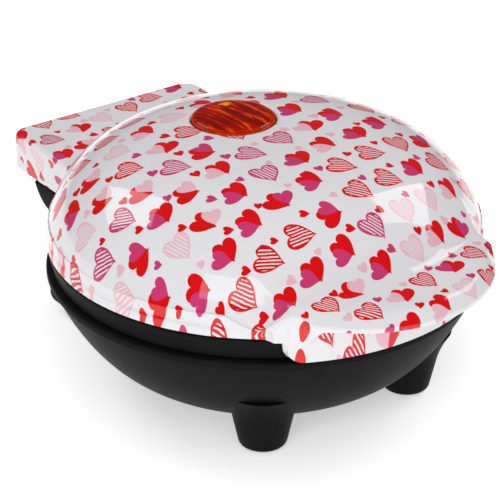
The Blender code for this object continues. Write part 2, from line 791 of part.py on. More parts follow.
def make_base_shell(base, black):
    """Bowl, rear block and feet in one moulding, hollow, with the hinge's middle knuckle."""
    outer = [(0.0, RIM_Z), (RIM_RADIUS - 1.2 * MM, RIM_Z), (RIM_RADIUS - 0.3 * MM, RIM_Z - 0.25 * MM)]
    outer += bowl_profile(0.0, 10)[1:] + [(0.0, BOWL_FLOOR_Z)]
    shell = turned("base_shell", outer, 56)
    add_part(shell, base, black)

    width = TOWER_HALF_WIDTH
    tower = side_extrusion("tower_block", tower_outline(), -width, width)
    rounding = tower.modifiers.new("round edges", "BEVEL")
    rounding.width = 1.6 * MM
    rounding.segments = 2
    rounding.limit_method = "ANGLE"
    boolean(shell, add_cutter(tower, base), "UNION")

    relief = box("rear_relief", (-40 * MM, TOWER_REAR_Y, 23.6 * MM), (40 * MM, 80 * MM, 45 * MM))
    boolean(shell, add_cutter(relief, base), "DIFFERENCE")

    for name, x, y in foot_places():
        foot_ends = ((x, y, FLOOR_Z + 0.7 * MM), (x, y, 22.0 * MM))
        foot = cylinder(f"foot_{name}", FOOT_RADIUS, *foot_ends, 20, FOOT_TOP_RADIUS)
        rounding = foot.modifiers.new("round edges", "BEVEL")
        rounding.width = 1.0 * MM
        rounding.segments = 1
        rounding.limit_method = "ANGLE"
        boolean(shell, add_cutter(foot, base), "UNION")

    cavity_profile = [(0.0, RIM_Z + 1.0 * MM), (RIM_RADIUS - SHELL_WALL, RIM_Z + 1.0 * MM)]
    cavity_profile += bowl_profile(SHELL_WALL, 6) + [(0.0, BOWL_FLOOR_Z + SHELL_WALL)]
    cavity = add_cutter(turned("bowl_cavity", cavity_profile, 40), base)
    keep = box("rear_wall_keep", (-50 * MM, TOWER_REAR_Y - SHELL_WALL, 0.0), (50 * MM, 80 * MM, 45 * MM))
    boolean(cavity, add_cutter(keep, base), "DIFFERENCE")
    boolean(shell, cavity, "DIFFERENCE")

    inner = TOWER_HALF_WIDTH - SHELL_WALL
    rear_room = [(42.0 * MM, 36.0 * MM), (TOWER_REAR_Y - SHELL_WALL, 36.0 * MM)]
    rear_room += [(TOWER_REAR_Y - SHELL_WALL, 22.6 * MM), (64.6 * MM, 17.1 * MM), (67.2 * MM, 10.3 * MM)]
    rear_room += [(66.4 * MM, 8.2 * MM), (50.0 * MM, 8.2 * MM), (44.0 * MM, 12.0 * MM), (42.0 * MM, 16.0 * MM)]
    room = side_extrusion("rear_room", rear_room, -inner, inner)
    boolean(shell, add_cutter(room, base), "DIFFERENCE")

    sweep = cylinder(
        "hinge_sweep",
        ARM_RADIUS + 1.1 * MM,
        (-36.0 * MM, HINGE_Y, HINGE_Z),
        (36.0 * MM, HINGE_Y, HINGE_Z),
        48,
    )
    boolean(shell, add_cutter(sweep, base), "DIFFERENCE")

    neck = [(TOWER_REAR_Y - 6.0 * MM, 34.0 * MM), (TOWER_REAR_Y, 34.0 * MM), (TOWER_REAR_Y + 2.6 * MM, 41.0 * MM)]
    neck += arc((HINGE_Y, HINGE_Z), KNUCKLE_RADIUS, -35, 190, 12)
    neck += [(57.6 * MM, 40.0 * MM)]
    knuckle = side_extrusion("hinge_knuckle", neck, -KNUCKLE_HALF_WIDTH, KNUCKLE_HALF_WIDTH)
    boolean(shell, add_cutter(knuckle, base), "UNION")

    for side, sign in (("left", -1), ("right", 1)):
        bore = cylinder(
            f"knuckle_bore_{side}",
            PIN_RADIUS + GAP,
            (sign * 8.0 * MM, HINGE_Y, HINGE_Z),
            (sign * 20.0 * MM, HINGE_Y, HINGE_Z),
        )
        boolean(shell, add_cutter(bore, base), "DIFFERENCE")

    middle, outward = gland_axis()
    way_out = cylinder("cord_hole", 3.8 * MM, middle - outward * 8 * MM, middle + outward * 6 * MM, 16)
    boolean(shell, add_cutter(way_out, base), "DIFFERENCE")

    for index, (x, y) in enumerate(plate_screw_places()):
        pillar = cylinder(f"pillar_{index}", 4.2 * MM, (x, y, 7.6 * MM), (x, y, 21.2 * MM), 12)
        bore = cylinder(f"pillar_bore_{index}", 1.7 * MM, (x, y, 2.0 * MM), (x, y, 24.0 * MM), 8)
        sink = cylinder(f"pillar_sink_{index}", 3.1 * MM, (x, y, 2.0 * MM), (x, y, 12.0 * MM), 12)
        boolean(shell, add_cutter(pillar, base), "UNION")
        boolean(shell, add_cutter(bore, base), "DIFFERENCE")
        boolean(shell, add_cutter(sink, base), "DIFFERENCE")

    for name, x, y in foot_places():
        seat = cylinder(f"pad_seat_{name}", 5.2 * MM, (x, y, 0.0), (x, y, FLOOR_Z + 2.4 * MM), 16)
        boolean(shell, add_cutter(seat, base), "DIFFERENCE")
    smooth(shell, 32)


def foot_places():
    return [
        (f"{depth}_{side}", sx * FOOT_X, sy * FOOT_Y)
        for depth, sy in (("front", -1), ("rear", 1))
        for side, sx in (("left", -1), ("right", 1))
    ]


def make_foot_pads(base, rubber):
    for name, x, y in foot_places():
        profile = [(0.0, 2.1), (4.9, 2.1), (4.9, 0.5), (4.5, 0.0), (0.0, 0.0)]
        pad = turned(f"foot_pad_{name}", [(r * MM, FLOOR_Z + z * MM) for r, z in profile], 16)
        pad.location = (x, y, 0.0)
        smooth(add_part(pad, base, rubber))


def make_base_ring(base, black):
    """The black deck between the bowl's rim and the lower plate."""
    profile = [
        (55.4, 39.8),
        (62.3, 39.8),
        (61.7, 38.2),
        (57.0, 38.2),
        (57.0, 36.4),
        (52.3, 36.4),
        (52.3, 37.9),
        (55.4, 37.9),
    ]
    ring = turned("base_ring", [(r * MM, z * MM) for r, z in profile], 44, closed=True)
    add_part(ring, base, black)
    low_y = TOWER_REAR_Y - SHELL_WALL - 3.6 * MM
    trim = box("ring_trim", (-32 * MM, low_y, 30 * MM), (32 * MM, 80 * MM, 45 * MM))
    boolean(ring, add_cutter(trim, base), "DIFFERENCE")
    smooth(ring)


def make_hinge_pins(base, steel):
    for side, sign in (("left", -1), ("right", 1)):
        pin = cylinder(
            f"hinge_pin_{side}",
            PIN_RADIUS,
            (sign * 8.6 * MM, HINGE_Y, HINGE_Z),
            (sign * 27.8 * MM, HINGE_Y, HINGE_Z),
            16,
        )
        add_part(pin, base, steel)


def make_cord_gland(base, rubber):
    """The bush in the rear block that the supply cord comes out of."""
    middle, outward = gland_axis()
    profile = [
        (2.4, 2.6),
        (4.4, 2.6),
        (5.3, 1.8),
        (5.3, 0.3),
        (3.5, 0.3),
        (3.5, -4.0),
        (2.4, -4.0),
    ]
    gland = turned("cord_gland", [(r * MM, z * MM) for r, z in profile], 20, closed=True)
    gland.location = middle
    gland.rotation_euler = outward.to_track_quat("Z", "Y").to_euler()
    smooth(add_part(gland, base, rubber))


def make_base_electrics(base, nylon, steel, ceramic, wire):
    thermostat = turned(
        "thermostat",
        [(r * MM, z * MM) for r, z in ((0.0, 29.3), (8.2, 29.3), (8.2, 27.6), (7.0, 27.4), (7.0, 24.0), (0.0, 24.0))],
        24,
    )
    smooth(add_part(thermostat, base, steel))

    fuse = cylinder("thermal_fuse", 2.0 * MM, (-9.0 * MM, -22.0 * MM, 26.6 * MM), (9.0 * MM, -22.0 * MM, 26.6 * MM), 16)
    add_part(fuse, base, ceramic)

    block = box("terminal_block", (-24 * MM, 28.0 * MM, 14.4 * MM), (-6 * MM, 36.0 * MM, 21.2 * MM), 0.6 * MM)
    add_part(block, base, nylon)
    for name, sign in (("supply_lead_live", -1), ("supply_lead_neutral", 1)):
        x = (-15 + 4 * sign) * MM
        ends = ((x, 26.0 * MM, 17.8 * MM), (x, 38.0 * MM, 17.8 * MM))
        bore = cylinder(f"terminal_bore_{name}", 2.0 * MM, *ends, 12)
        boolean(block, add_cutter(bore, base), "DIFFERENCE")
        route = [
            (sign * 1.3 * MM, 63.2 * MM, 12.9 * MM),
            (sign * 1.5 * MM - 0.6 * MM, 58.0 * MM, 13.6 * MM),
            (sign * 2.4 * MM - 5.0 * MM, 50.0 * MM, 17.6 * MM),
            (x, 42.0 * MM, 17.8 * MM),
            (x, 37.5 * MM, 17.8 * MM),
            (x, 33.0 * MM, 17.8 * MM),
        ]
        add_part(tube(name, path_through(route, 3), 1.1 * MM, 1), base, wire)


def make_lid_leads(lid, wire):
    """The two insulated leads from the hinge side to the lamp holder, above the reflector."""
    for name, sign in (("lamp_lead_power", -1), ("lamp_lead_ready", 1)):
        route = [
            (sign * 7.0 * MM, 50.0 * MM, 57.6 * MM),
            (sign * 8.0 * MM, 42.0 * MM, 61.2 * MM),
            (sign * 6.0 * MM, 32.0 * MM, 62.6 * MM),
            (sign * 4.4 * MM, LENS_Y + 5.6 * MM, 63.4 * MM),
        ]
        add_part(tube(name, path_through(route, 4), 1.0 * MM, 1), lid, wire)


# ---------------------------------------------------------------- assembly

def empty(name, place):
    obj = bpy.data.objects.new(name, None)
    obj.location = place
    bpy.context.scene.collection.objects.link(obj)
    return obj


def main():
    clear_scene()
    new_collection(PARTS)
    new_collection(CUTTERS)
    base = empty("base_frame", (0.0, BODY_Y, 0.0))
    lid = empty("lid_hinge", (0.0, BODY_Y + HINGE_Y, HINGE_Z - FLOOR_Z))

    white = principled("white_gloss_cover", (0.82, 0.82, 0.84), 0.12)
    black = principled("black_plastic", (0.02, 0.02, 0.022), 0.42)
    coating = principled("non_stick_coating", (0.035, 0.035, 0.037), 0.38, 0.3)
    steel = principled("plated_steel", (0.55, 0.56, 0.57), 0.35, 1.0)
    rubber = principled("black_rubber", (0.015, 0.015, 0.015), 0.8)
    red = principled("red_lens", (0.75, 0.05, 0.01), 0.08)
    nylon = principled("natural_nylon", (0.75, 0.73, 0.66), 0.5)
    neon = principled("lamp_glass", (0.9, 0.35, 0.08), 0.1)
    ceramic = principled("white_ceramic", (0.85, 0.84, 0.8), 0.4)
    wire = principled("glass_sleeve", (0.8, 0.8, 0.78), 0.7)

    make_lid_cover(lid, white)
    make_lid_frame(lid, black)
    make_lens(lid, red)
    make_lamp_parts(lid, nylon, neon)
    upper_back = make_plate("upper_plate", UPPER_PLATE_LOW_Z, 1.0, lid, coating)
    make_heater("upper_heater", upper_back, 1.0, lid, steel)
    make_reflector("upper_reflector", upper_back, 1.0, lid, steel)
    make_lid_leads(lid, wire)
    for index, place in enumerate(plate_screw_places()):
        make_screw(
            f"upper_plate_screw_{index + 1}", place, 61.0 * MM, 52.4 * MM, 2.6 * MM, lid, steel
        )
    for index, place in enumerate(lid_screw_places()):
        make_screw(f"lid_screw_{index + 1}", place, 41.2 * MM, 53.6 * MM, 2.2 * MM, lid, steel)

    make_base_shell(base, black)
    make_base_ring(base, black)
    make_foot_pads(base, rubber)
    lower_back = make_plate("lower_plate", LOWER_PLATE_TOP_Z, -1.0, base, coating)
    make_heater("lower_heater", lower_back, -1.0, base, steel)
    make_reflector("lower_reflector", lower_back, -1.0, base, steel)
    for index, place in enumerate(plate_screw_places()):
        make_screw(f"base_screw_{index + 1}", place, 9.9 * MM, 28.9 * MM, 2.7 * MM, base, steel)
    make_hinge_pins(base, steel)
    make_cord_gland(base, rubber)
    make_base_electrics(base, nylon, steel, ceramic, wire)


main()
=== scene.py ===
import json
import math

import bmesh
import bpy
import numpy as np
from mathutils import Matrix, Vector

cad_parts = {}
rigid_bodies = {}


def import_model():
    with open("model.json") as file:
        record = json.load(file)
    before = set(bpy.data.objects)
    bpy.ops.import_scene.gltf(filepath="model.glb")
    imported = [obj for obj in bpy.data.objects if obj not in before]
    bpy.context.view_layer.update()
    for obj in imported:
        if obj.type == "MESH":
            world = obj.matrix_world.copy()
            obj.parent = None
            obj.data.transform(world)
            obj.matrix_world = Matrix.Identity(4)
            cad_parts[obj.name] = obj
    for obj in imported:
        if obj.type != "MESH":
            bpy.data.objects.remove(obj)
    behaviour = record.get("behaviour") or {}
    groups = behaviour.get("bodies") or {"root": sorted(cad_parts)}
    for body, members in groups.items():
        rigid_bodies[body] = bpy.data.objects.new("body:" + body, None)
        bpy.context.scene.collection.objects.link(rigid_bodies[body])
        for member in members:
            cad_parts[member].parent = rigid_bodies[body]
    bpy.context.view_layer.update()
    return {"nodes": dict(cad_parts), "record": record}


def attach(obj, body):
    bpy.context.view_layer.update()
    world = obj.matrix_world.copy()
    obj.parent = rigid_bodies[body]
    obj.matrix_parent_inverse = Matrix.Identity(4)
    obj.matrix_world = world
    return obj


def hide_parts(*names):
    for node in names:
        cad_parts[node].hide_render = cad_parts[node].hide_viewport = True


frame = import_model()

MM = 0.001

# The driving dimensions of the part, from the body's own axis and a level just under the floor.
FLOOR_Z = 1.7 * MM
RIM_RADIUS = 65.0 * MM
RIM_Z = 40.0 * MM
BOWL_FLOOR_RADIUS = 19.3 * MM
BOWL_FLOOR_Z = 6.2 * MM
SHELL_WALL = 2.2 * MM
COVER_RADIUS = 64.5 * MM
COVER_EDGE_Z = 47.5 * MM
DOME_RISE = 31.7 * MM
DOME_ROUNDNESS = 3.64
DOME_SHOULDER = 1.89
DOME_WALL_TOP = 52.0 * MM
INNER_SHARE = 0.76
COVER_WALL = 1.7 * MM
HOUSING_HALF_WIDTH = 34.3 * MM
HOUSING_REACH = 89.0 * MM
HOUSING_TOP_Z = 57.5 * MM
HOUSING_EDGE_Z = 46.0 * MM
HOUSING_CORNER = 5.0 * MM
HANDLE_CENTRE_Y = -43.0 * MM
HANDLE_RADIUS = 39.0 * MM
CREST_CENTRE_Y = -43.0 * MM
CREST_RADIUS = 35.5 * MM
CREST_Z = 59.1 * MM
LIP_Z = 54.2 * MM
SKIRT_RADIUS = 66.8 * MM
SKIRT_HALF_WIDTH = 34.9 * MM
SKIRT_EDGE_Z = 41.0 * MM
SKIRT_CORNER = 4.5 * MM
LENS_Y = 15.6 * MM
LENS_RADIUS = 12.5 * MM
LENS_HOLE_RADIUS = 12.8 * MM
HINGE_Y = 64.5 * MM
HINGE_Z = 49.0 * MM
ARM_RADIUS = 10.0 * MM
CHEEK_RADIUS = 11.9 * MM
ARM_INNER_X = 18.0 * MM
ARM_OUTER_X = 31.6 * MM
KNUCKLE_HALF_WIDTH = 17.0 * MM
KNUCKLE_RADIUS = 5.5 * MM
PIN_RADIUS = 2.0 * MM
TOWER_HALF_WIDTH = 34.0 * MM
TOWER_REAR_Y = 60.2 * MM
TOWER_SHELF = (66.5 * MM, 18.5 * MM)
TOWER_HEEL = (69.6 * MM, 10.6 * MM)
FOOT_X = 26.7 * MM
FOOT_Y = 35.2 * MM
FOOT_RADIUS = 6.9 * MM
FOOT_TAPER = 0.215
PLATE_RADIUS = 55.0 * MM
CAVITY_RADIUS = 50.0 * MM
PLATE_BACK_RADIUS = 51.8 * MM
PLATE_RIM = 1.8 * MM
CAVITY_DEPTH = 7.4 * MM
PLATE_WALL = 2.8 * MM
STUD_HEIGHT = 4.9 * MM
STUD_PITCH = 14.0 * MM
LOWER_PLATE_TOP_Z = 40.0 * MM
UPPER_PLATE_LOW_Z = 40.6 * MM
GAP = 0.3 * MM
BODY_Y = (HANDLE_RADIUS - HANDLE_CENTRE_Y - HOUSING_REACH) / 2

HIDDEN = bpy.data.collections.new("helpers")
bpy.context.scene.collection.children.link(HIDDEN)


# ---------------------------------------------------------------- camera, lights and floor

def make_camera():
    data = bpy.data.cameras.new("camera")
    data.lens = 160.05
    data.sensor_width = 36.0
    data.clip_start = 0.05
    data.clip_end = 50.0
    camera = bpy.data.objects.new("camera", data)
    bpy.context.scene.collection.objects.link(camera)
    back = Vector((-0.5255, -0.7166, 0.4585)).normalized()
    camera.location = Vector((0.00645, 0.01273, 0.03106)) + back * 0.681
    camera.rotation_euler = back.to_track_quat("Z", "Y").to_euler()
    bpy.context.scene.camera = camera


def area_light(name, place, target, size, power, size_y=None):
    data = bpy.data.lights.new(name, "AREA")
    data.shape = "RECTANGLE"
    data.size = size
    data.size_y = size_y or size
    data.energy = power
    light = bpy.data.objects.new(name, data)
    light.location = place
    light.rotation_euler = (Vector(place) - Vector(target)).to_track_quat("Z", "Y").to_euler()
    bpy.context.scene.collection.objects.link(light)
    return light


def make_studio():
    scene = bpy.context.scene
    scene.view_settings.view_transform = "Standard"
    scene.view_settings.look = "None"
    world = bpy.data.worlds.new("studio")
    scene.world = world
    world.use_nodes = True
    background = world.node_tree.nodes["Background"]
    background.inputs["Color"].default_value = (1.0, 1.0, 1.0, 1.0)
    background.inputs["Strength"].default_value = 0.10
    centre = Vector((0.0, 0.0, 0.04))
    # Softboxes to the right, behind on the left and in front on the left, each given as
    # bearing, elevation, width, height and power.
    boxes = ((90.0, 41.0, 0.54, 0.46, 2.5), (-160.0, 43.0, 0.56, 0.48, 2.4), (-58.0, 28.0, 0.46, 0.56, 2.3))
    for index, (bearing, elevation, width, height, power) in enumerate(boxes):
        a = math.radians(bearing)
        e = math.radians(elevation)
        way = Vector((math.sin(a) * math.cos(e), -math.cos(a) * math.cos(e), math.sin(e)))
        area_light(f"softbox_{index + 1}", centre + way * 1.2, centre, width, power, height)
    # Broad fills light the piece evenly without showing in its gloss.
    fills = (((0.0, -0.2, 1.7), 2.6, 21.0), ((-0.7, -1.3, 0.8), 1.4, 7.0))
    for index, (place, size, power) in enumerate(fills):
        fill = area_light(f"fill_{index + 1}", place, centre, size, power)
        fill.visible_glossy = False


def staged(name, shape, white, glow):
    """A pale thing round the object that isn't part of it."""
    mesh = bpy.data.meshes.new(name)
    shape.to_mesh(mesh)
    shape.free()
    obj = bpy.data.objects.new(name, mesh)
    bpy.context.scene.collection.objects.link(obj)
    material = bpy.data.materials.new(name + "_paper")
    material.use_nodes = True
    shader = material.node_tree.nodes["Principled BSDF"]
    shader.inputs["Base Color"].default_value = (white, white, white, 1.0)
    shader.inputs["Roughness"].default_value = 0.9
    shader.inputs["Specular IOR Level"].default_value = 0.1
    shader.inputs["Emission Color"].default_value = (1.0, 1.0, 1.0, 1.0)
    shader.inputs["Emission Strength"].default_value = glow
    mesh.materials.append(material)
    return obj


def make_floor():
    shape = bmesh.new()
    bmesh.ops.create_grid(shape, x_segments=8, y_segments=8, size=6.0)
    staged("floor", shape, 0.99, 0.48)


def make_backdrop():
    """A plain white surround for low views. It lights nothing and doesn't show in the gloss."""
    shape = bmesh.new()
    bmesh.ops.create_uvsphere(shape, u_segments=32, v_segments=16, radius=5.0)
    backdrop = staged("backdrop", shape, 0.9, 0.9)
    backdrop.visible_diffuse = False
    backdrop.visible_glossy = False
    backdrop.visible_transmission = False
    backdrop.visible_shadow = False


# ---------------------------------------------------------------- shader helpers

class Graph:
    """Short calls to add nodes to a material or a node group."""

    def __init__(self, tree):
        self.tree = tree

    def node(self, kind, values=(), **settings):
        made = self.tree.nodes.new(kind)
        for key, value in settings.items():
            setattr(made, key, value)
        for key, value in dict(values).items():
            self.put(made.inputs[key], value)
        return made

    def put(self, socket, value):
        if isinstance(value, bpy.types.NodeSocket):
            self.tree.links.new(value, socket)
        else:
            socket.default_value = value

    def math(self, operation, *values):
        made = self.node("ShaderNodeMath", operation=operation)
        for socket, value in zip(made.inputs, values):
            self.put(socket, value)
        return made.outputs[0]

    def mix(self, share, a, b):
        made = self.node("ShaderNodeMix", data_type="RGBA")
        self.put(made.inputs[0], share)
        self.put(made.inputs[6], a)
        self.put(made.inputs[7], b)
        return made.outputs[2]

    def ramp(self, value, stops):
        made = self.node("ShaderNodeValToRGB", {"Fac": value})
        elements = made.color_ramp.elements
        while len(elements) < len(stops):
            elements.new(0.5)
        for element, (place, colour) in zip(elements, stops):
            element.position = place
            element.color = (*colour, 1.0)
        return made.outputs["Color"]

    def noise(self, scale, detail=2.0, vector=None):
        made = self.node("ShaderNodeTexNoise", {"Scale": scale, "Detail": detail})
        self.put(made.inputs["Vector"], vector or self.place())
        return made.outputs["Fac"]

    def place(self):
        return self.node("ShaderNodeTexCoord").outputs["Object"]

    def remap(self, value, low, high, start=0.0, end=1.0):
        """Carries the range from start to end over to the range from low to high, and clamps it."""
        made = self.node("ShaderNodeMapRange", {"Value": value, "From Min": start, "From Max": end})
        self.put(made.inputs["To Min"], low)
        self.put(made.inputs["To Max"], high)
        return made.outputs[0]

    def length(self, x, y):
        squares = self.math("ADD", self.math("MULTIPLY", x, x), self.math("MULTIPLY", y, y))
        return self.math("SQRT", squares)

    def bump(self, height, strength, distance):
        made = self.node("ShaderNodeBump", {"Height": height, "Strength": strength, "Distance": distance})
        return made.outputs["Normal"]


def new_material(name, **values):
    material = bpy.data.materials.new(name)
    material.use_nodes = True
    shader = material.node_tree.nodes["Principled BSDF"]
    for key, value in values.items():
        shader.inputs[key.replace("_", " ")].default_value = value
    return material, shader, Graph(material.node_tree)


def moulded(name, colour, roughness, grain, tint, **values):
    """A moulded plastic or rubber: fine grain, slight mottling and a sheen that varies."""
    material, shader, g = new_material(name, **values)
    broad = g.noise(90.0, 4.0)
    light = tuple(min(1.0, c * (1.0 + tint)) for c in colour)
    dark = tuple(c * (1.0 - tint) for c in colour)
    g.put(shader.inputs["Base Color"], g.ramp(broad, [(0.3, dark), (0.7, light)]))
    fine = g.noise(2600.0, 3.0)
    g.put(shader.inputs["Roughness"], g.remap(g.noise(240.0, 5.0), roughness - 0.05, roughness + 0.06))
    g.put(shader.inputs["Normal"], g.bump(fine, grain, 0.0002))
    return material


def metal(name, colour, roughness):
    """Drawn or turned steel: fine streaks one way, a little uneven in sheen."""
    material, shader, g = new_material(name, Metallic=1.0)
    mapping = g.node("ShaderNodeMapping", {"Vector": g.place(), "Scale": (1.0, 1.0, 12.0)})
    streaks = g.noise(900.0, 4.0, mapping.outputs["Vector"])
    light = tuple(min(1.0, c * 1.12) for c in colour)
    dark = tuple(c * 0.8 for c in colour)
    g.put(shader.inputs["Base Color"], g.ramp(streaks, [(0.25, dark), (0.75, light)]))
    g.put(shader.inputs["Roughness"], g.remap(g.noise(160.0, 4.0), roughness - 0.08, roughness + 0.1))
    g.put(shader.inputs["Normal"], g.bump(streaks, 0.12, 0.0002))
    return material


# ---------------------------------------------------------------- the cover's heart print

RED = (0.72, 0.003, 0.004)
MAGENTA = (0.60, 0.042, 0.16)
PINK = (0.80, 0.48, 0.55)
HATCHED_PINK = (0.82, 0.50, 0.57)


def heart_group():
    """Node group: how far out a point is in a heart, 1 at its outline, and its place across it."""
    tree = bpy.data.node_groups.new("heart", "ShaderNodeTree")
    for name in ("X", "Y", "Turn", "Size", "Lift"):
        tree.interface.new_socket(name, in_out="INPUT", socket_type="NodeSocketFloat")
    for name in ("Reach", "Across"):
        tree.interface.new_socket(name, in_out="OUTPUT", socket_type="NodeSocketFloat")
    g = Graph(tree)
    given = g.node("NodeGroupInput").outputs
    ends = g.node("NodeGroupOutput")
    cosine = g.math("COSINE", given["Turn"])
    sine = g.math("SINE", given["Turn"])
    x = g.math("ADD", g.math("MULTIPLY", given["X"], cosine), g.math("MULTIPLY", given["Y"], sine))
    y = g.math("SUBTRACT", g.math("MULTIPLY", given["Y"], cosine), g.math("MULTIPLY", given["X"], sine))
    x = g.math("DIVIDE", x, given["Size"])
    y = g.math("DIVIDE", g.math("SUBTRACT", y, given["Lift"]), given["Size"])
    dent = g.math("MULTIPLY", g.math("SQRT", g.math("ABSOLUTE", x)), 0.86)
    rise = g.math("SUBTRACT", g.math("MULTIPLY_ADD", y, 1.12, 0.16), dent)
    g.put(ends.inputs["Reach"], g.length(x, rise))
    g.put(ends.inputs["Across"], g.math("MULTIPLY_ADD", y, 0.25, x))
    return tree


class Print:
    """Lays out the hearts: a staggered lattice of large ones with small ones between them."""

    PITCH_X = 0.0128
    PITCH_Y = 0.0120

    def __init__(self, g):
        self.g = g
        self.group = heart_group()
        place = g.node("ShaderNodeSeparateXYZ", {"Vector": g.place()}).outputs
        # The print wraps a little way down the walls instead of running straight down them.
        wrap = g.math("MULTIPLY_ADD", g.math("SUBTRACT", 0.0776, place["Z"]), 7.0, 1.0)
        x = g.math("MULTIPLY", place["X"], wrap)
        y = g.math("MULTIPLY", g.math("ADD", place["Y"], 0.0035), wrap)
        # On the housing's walls it goes on as if they were folded up level with its top.
        down = g.math("MAXIMUM", g.math("SUBTRACT", 0.0549, place["Z"]), 0.0)
        rear = g.math("MULTIPLY", down, g.math("GREATER_THAN", place["Y"], 0.0530))
        beside = g.math("MULTIPLY", rear, g.math("GREATER_THAN", g.math("ABSOLUTE", place["X"]), 0.0322))
        behind = g.math("MULTIPLY", rear, g.math("GREATER_THAN", place["Y"], 0.0825))
        x = g.math("ADD", x, g.math("MULTIPLY", beside, g.math("SIGN", place["X"])))
        y = g.math("ADD", y, behind)
        # The lattice stands a little askew on the cover.
        self.x = g.math("ADD", g.math("MULTIPLY", x, 0.978), g.math("MULTIPLY", y, 0.208))
        self.y = g.math("SUBTRACT", g.math("MULTIPLY", y, 0.978), g.math("MULTIPLY", x, 0.208))

    def lattice(self, shift_x, shift_y, seed):
        """The cell a point is in, as its place within the cell in metres, and four random numbers."""
        g = self.g
        v = g.math("ADD", g.math("DIVIDE", self.y, self.PITCH_Y), shift_y)
        row = g.math("FLOOR", v)
        odd = g.math("MULTIPLY", g.math("FLOORED_MODULO", row, 2.0), 0.5)
        u = g.math("ADD", g.math("ADD", g.math("DIVIDE", self.x, self.PITCH_X), shift_x), odd)
        column = g.math("FLOOR", u)
        cell = g.node("ShaderNodeCombineXYZ", {"X": column, "Y": row, "Z": seed}).outputs[0]
        first = g.node("ShaderNodeTexWhiteNoise", {"Vector": cell}, noise_dimensions="3D").outputs
        parts = g.node("ShaderNodeSeparateColor", {"Color": first["Color"]}).outputs
        x = g.math("MULTIPLY", g.math("SUBTRACT", g.math("SUBTRACT", u, column), 0.5), self.PITCH_X)
        y = g.math("MULTIPLY", g.math("SUBTRACT", g.math("SUBTRACT", v, row), 0.5), self.PITCH_Y)
        return x, y, (parts[0], parts[1], parts[2], first["Value"])

    def heart(self, x, y, turn, size, lift=0.0):
        made = self.g.node("ShaderNodeGroup", node_tree=self.group)
        for key, value in (("X", x), ("Y", y), ("Turn", turn), ("Size", size), ("Lift", lift)):
            self.g.put(made.inputs[key], value)
        return made.outputs["Reach"], made.outputs["Across"]

    def jitter(self, value, amount):
        return self.g.math("MULTIPLY", self.g.math("SUBTRACT", value, 0.5), amount)

    def large(self, paper):
        g = self.g
        x, y, random = self.lattice(0.0, 0.0, 3.0)
        x = g.math("SUBTRACT", x, self.jitter(random[0], 0.0022))
        y = g.math("SUBTRACT", y, self.jitter(random[1], 0.0017))
        turn = g.math("ADD", self.jitter(random[2], 1.3), 0.35)
        kind = random[3]
        second = g.math("FRACT", g.math("MULTIPLY", kind, 37.0))

        # Two hearts that share their tip, a red one behind.
        tip_x = g.math("SUBTRACT", x, g.math("MULTIPLY", g.math("SINE", turn), 0.0032))
        tip_y = g.math("ADD", y, g.math("MULTIPLY", g.math("COSINE", turn), 0.0032))
        side = g.math("MULTIPLY_ADD", g.math("GREATER_THAN", random[0], 0.35), 2.0, -1.0)
        back_turn = g.math("ADD", turn, g.math("MULTIPLY", side, 0.52))
        back, _ = self.heart(tip_x, tip_y, back_turn, 0.0037, 0.0033)
        front_turn = g.math("ADD", turn, g.math("MULTIPLY", side, -0.32))
        front, _ = self.heart(tip_x, tip_y, front_turn, 0.0029, 0.0034)
        front_ink = g.mix(g.math("GREATER_THAN", second, 0.6), (*MAGENTA, 1), (*PINK, 1))
        pair = g.mix(g.math("LESS_THAN", back, 1.0), paper, (*RED, 1))
        pair = g.mix(g.math("LESS_THAN", front, 1.0), pair, front_ink)

        # One heart drawn as an outline filled with strokes.
        alone, across = self.heart(x, y, turn, 0.0044)
        waver = g.math("MULTIPLY", g.noise(330.0, 2.0), 0.14)
        wave = g.math("SINE", g.math("MULTIPLY", g.math("ADD", across, waver), 25.0))
        ragged = g.math("MULTIPLY_ADD", g.noise(800.0, 1.0), 0.24, 0.72)
        gaps = g.math("MULTIPLY", g.math("GREATER_THAN", wave, 0.30), g.math("LESS_THAN", alone, ragged))
        inked = g.math("MULTIPLY", g.math("LESS_THAN", alone, 1.0), g.math("SUBTRACT", 1.0, gaps))
        ink = g.mix(g.math("GREATER_THAN", second, 0.42), (*RED, 1), (*MAGENTA, 1))
        ink = g.mix(g.math("GREATER_THAN", second, 0.8), ink, (*HATCHED_PINK, 1))
        drawn = g.mix(inked, paper, ink)
        return g.mix(g.math("GREATER_THAN", kind, 0.52), pair, drawn)

    def small(self, under):
        g = self.g
        x, y, random = self.lattice(-0.5, -0.333, 11.0)
        x = g.math("SUBTRACT", x, self.jitter(random[0], 0.0012))
        y = g.math("SUBTRACT", y, self.jitter(random[1], 0.0010))
        size = g.math("MULTIPLY_ADD", random[3], 0.0005, 0.0012)
        reach, _ = self.heart(x, y, self.jitter(random[2], 1.8), size)
        second = g.math("FRACT", g.math("MULTIPLY", random[3], 23.0))
        ink = g.mix(g.math("GREATER_THAN", second, 0.5), (*RED, 1), (*MAGENTA, 1))
        ink = g.mix(g.math("GREATER_THAN", second, 0.72), ink, (*PINK, 1))
        return g.mix(g.math("LESS_THAN", reach, 1.0), under, ink)


def printed_white():
    material, shader, g = new_material(
        "printed_white",
        Roughness=0.45,
        Specular_IOR_Level=0.0,
        Coat_Weight=1.0,
        Coat_Roughness=0.03,
        Coat_IOR=1.5,
    )
    hearts = Print(g)
    white = g.ramp(g.noise(35.0, 3.0), [(0.3, (0.755, 0.748, 0.772)), (0.7, (0.78, 0.773, 0.795))])
    g.put(shader.inputs["Base Color"], hearts.small(hearts.large(white)))
    ripple = g.bump(g.noise(120.0, 2.0), 0.02, 0.0006)
    g.put(shader.inputs["Normal"], ripple)
    g.put(shader.inputs["Coat Normal"], ripple)
    return material


# ---------------------------------------------------------------- basic shapes

def smooth(obj, degrees=35):
    obj.data.shade_smooth()
    obj.data.set_sharp_from_angle(angle=math.radians(degrees))


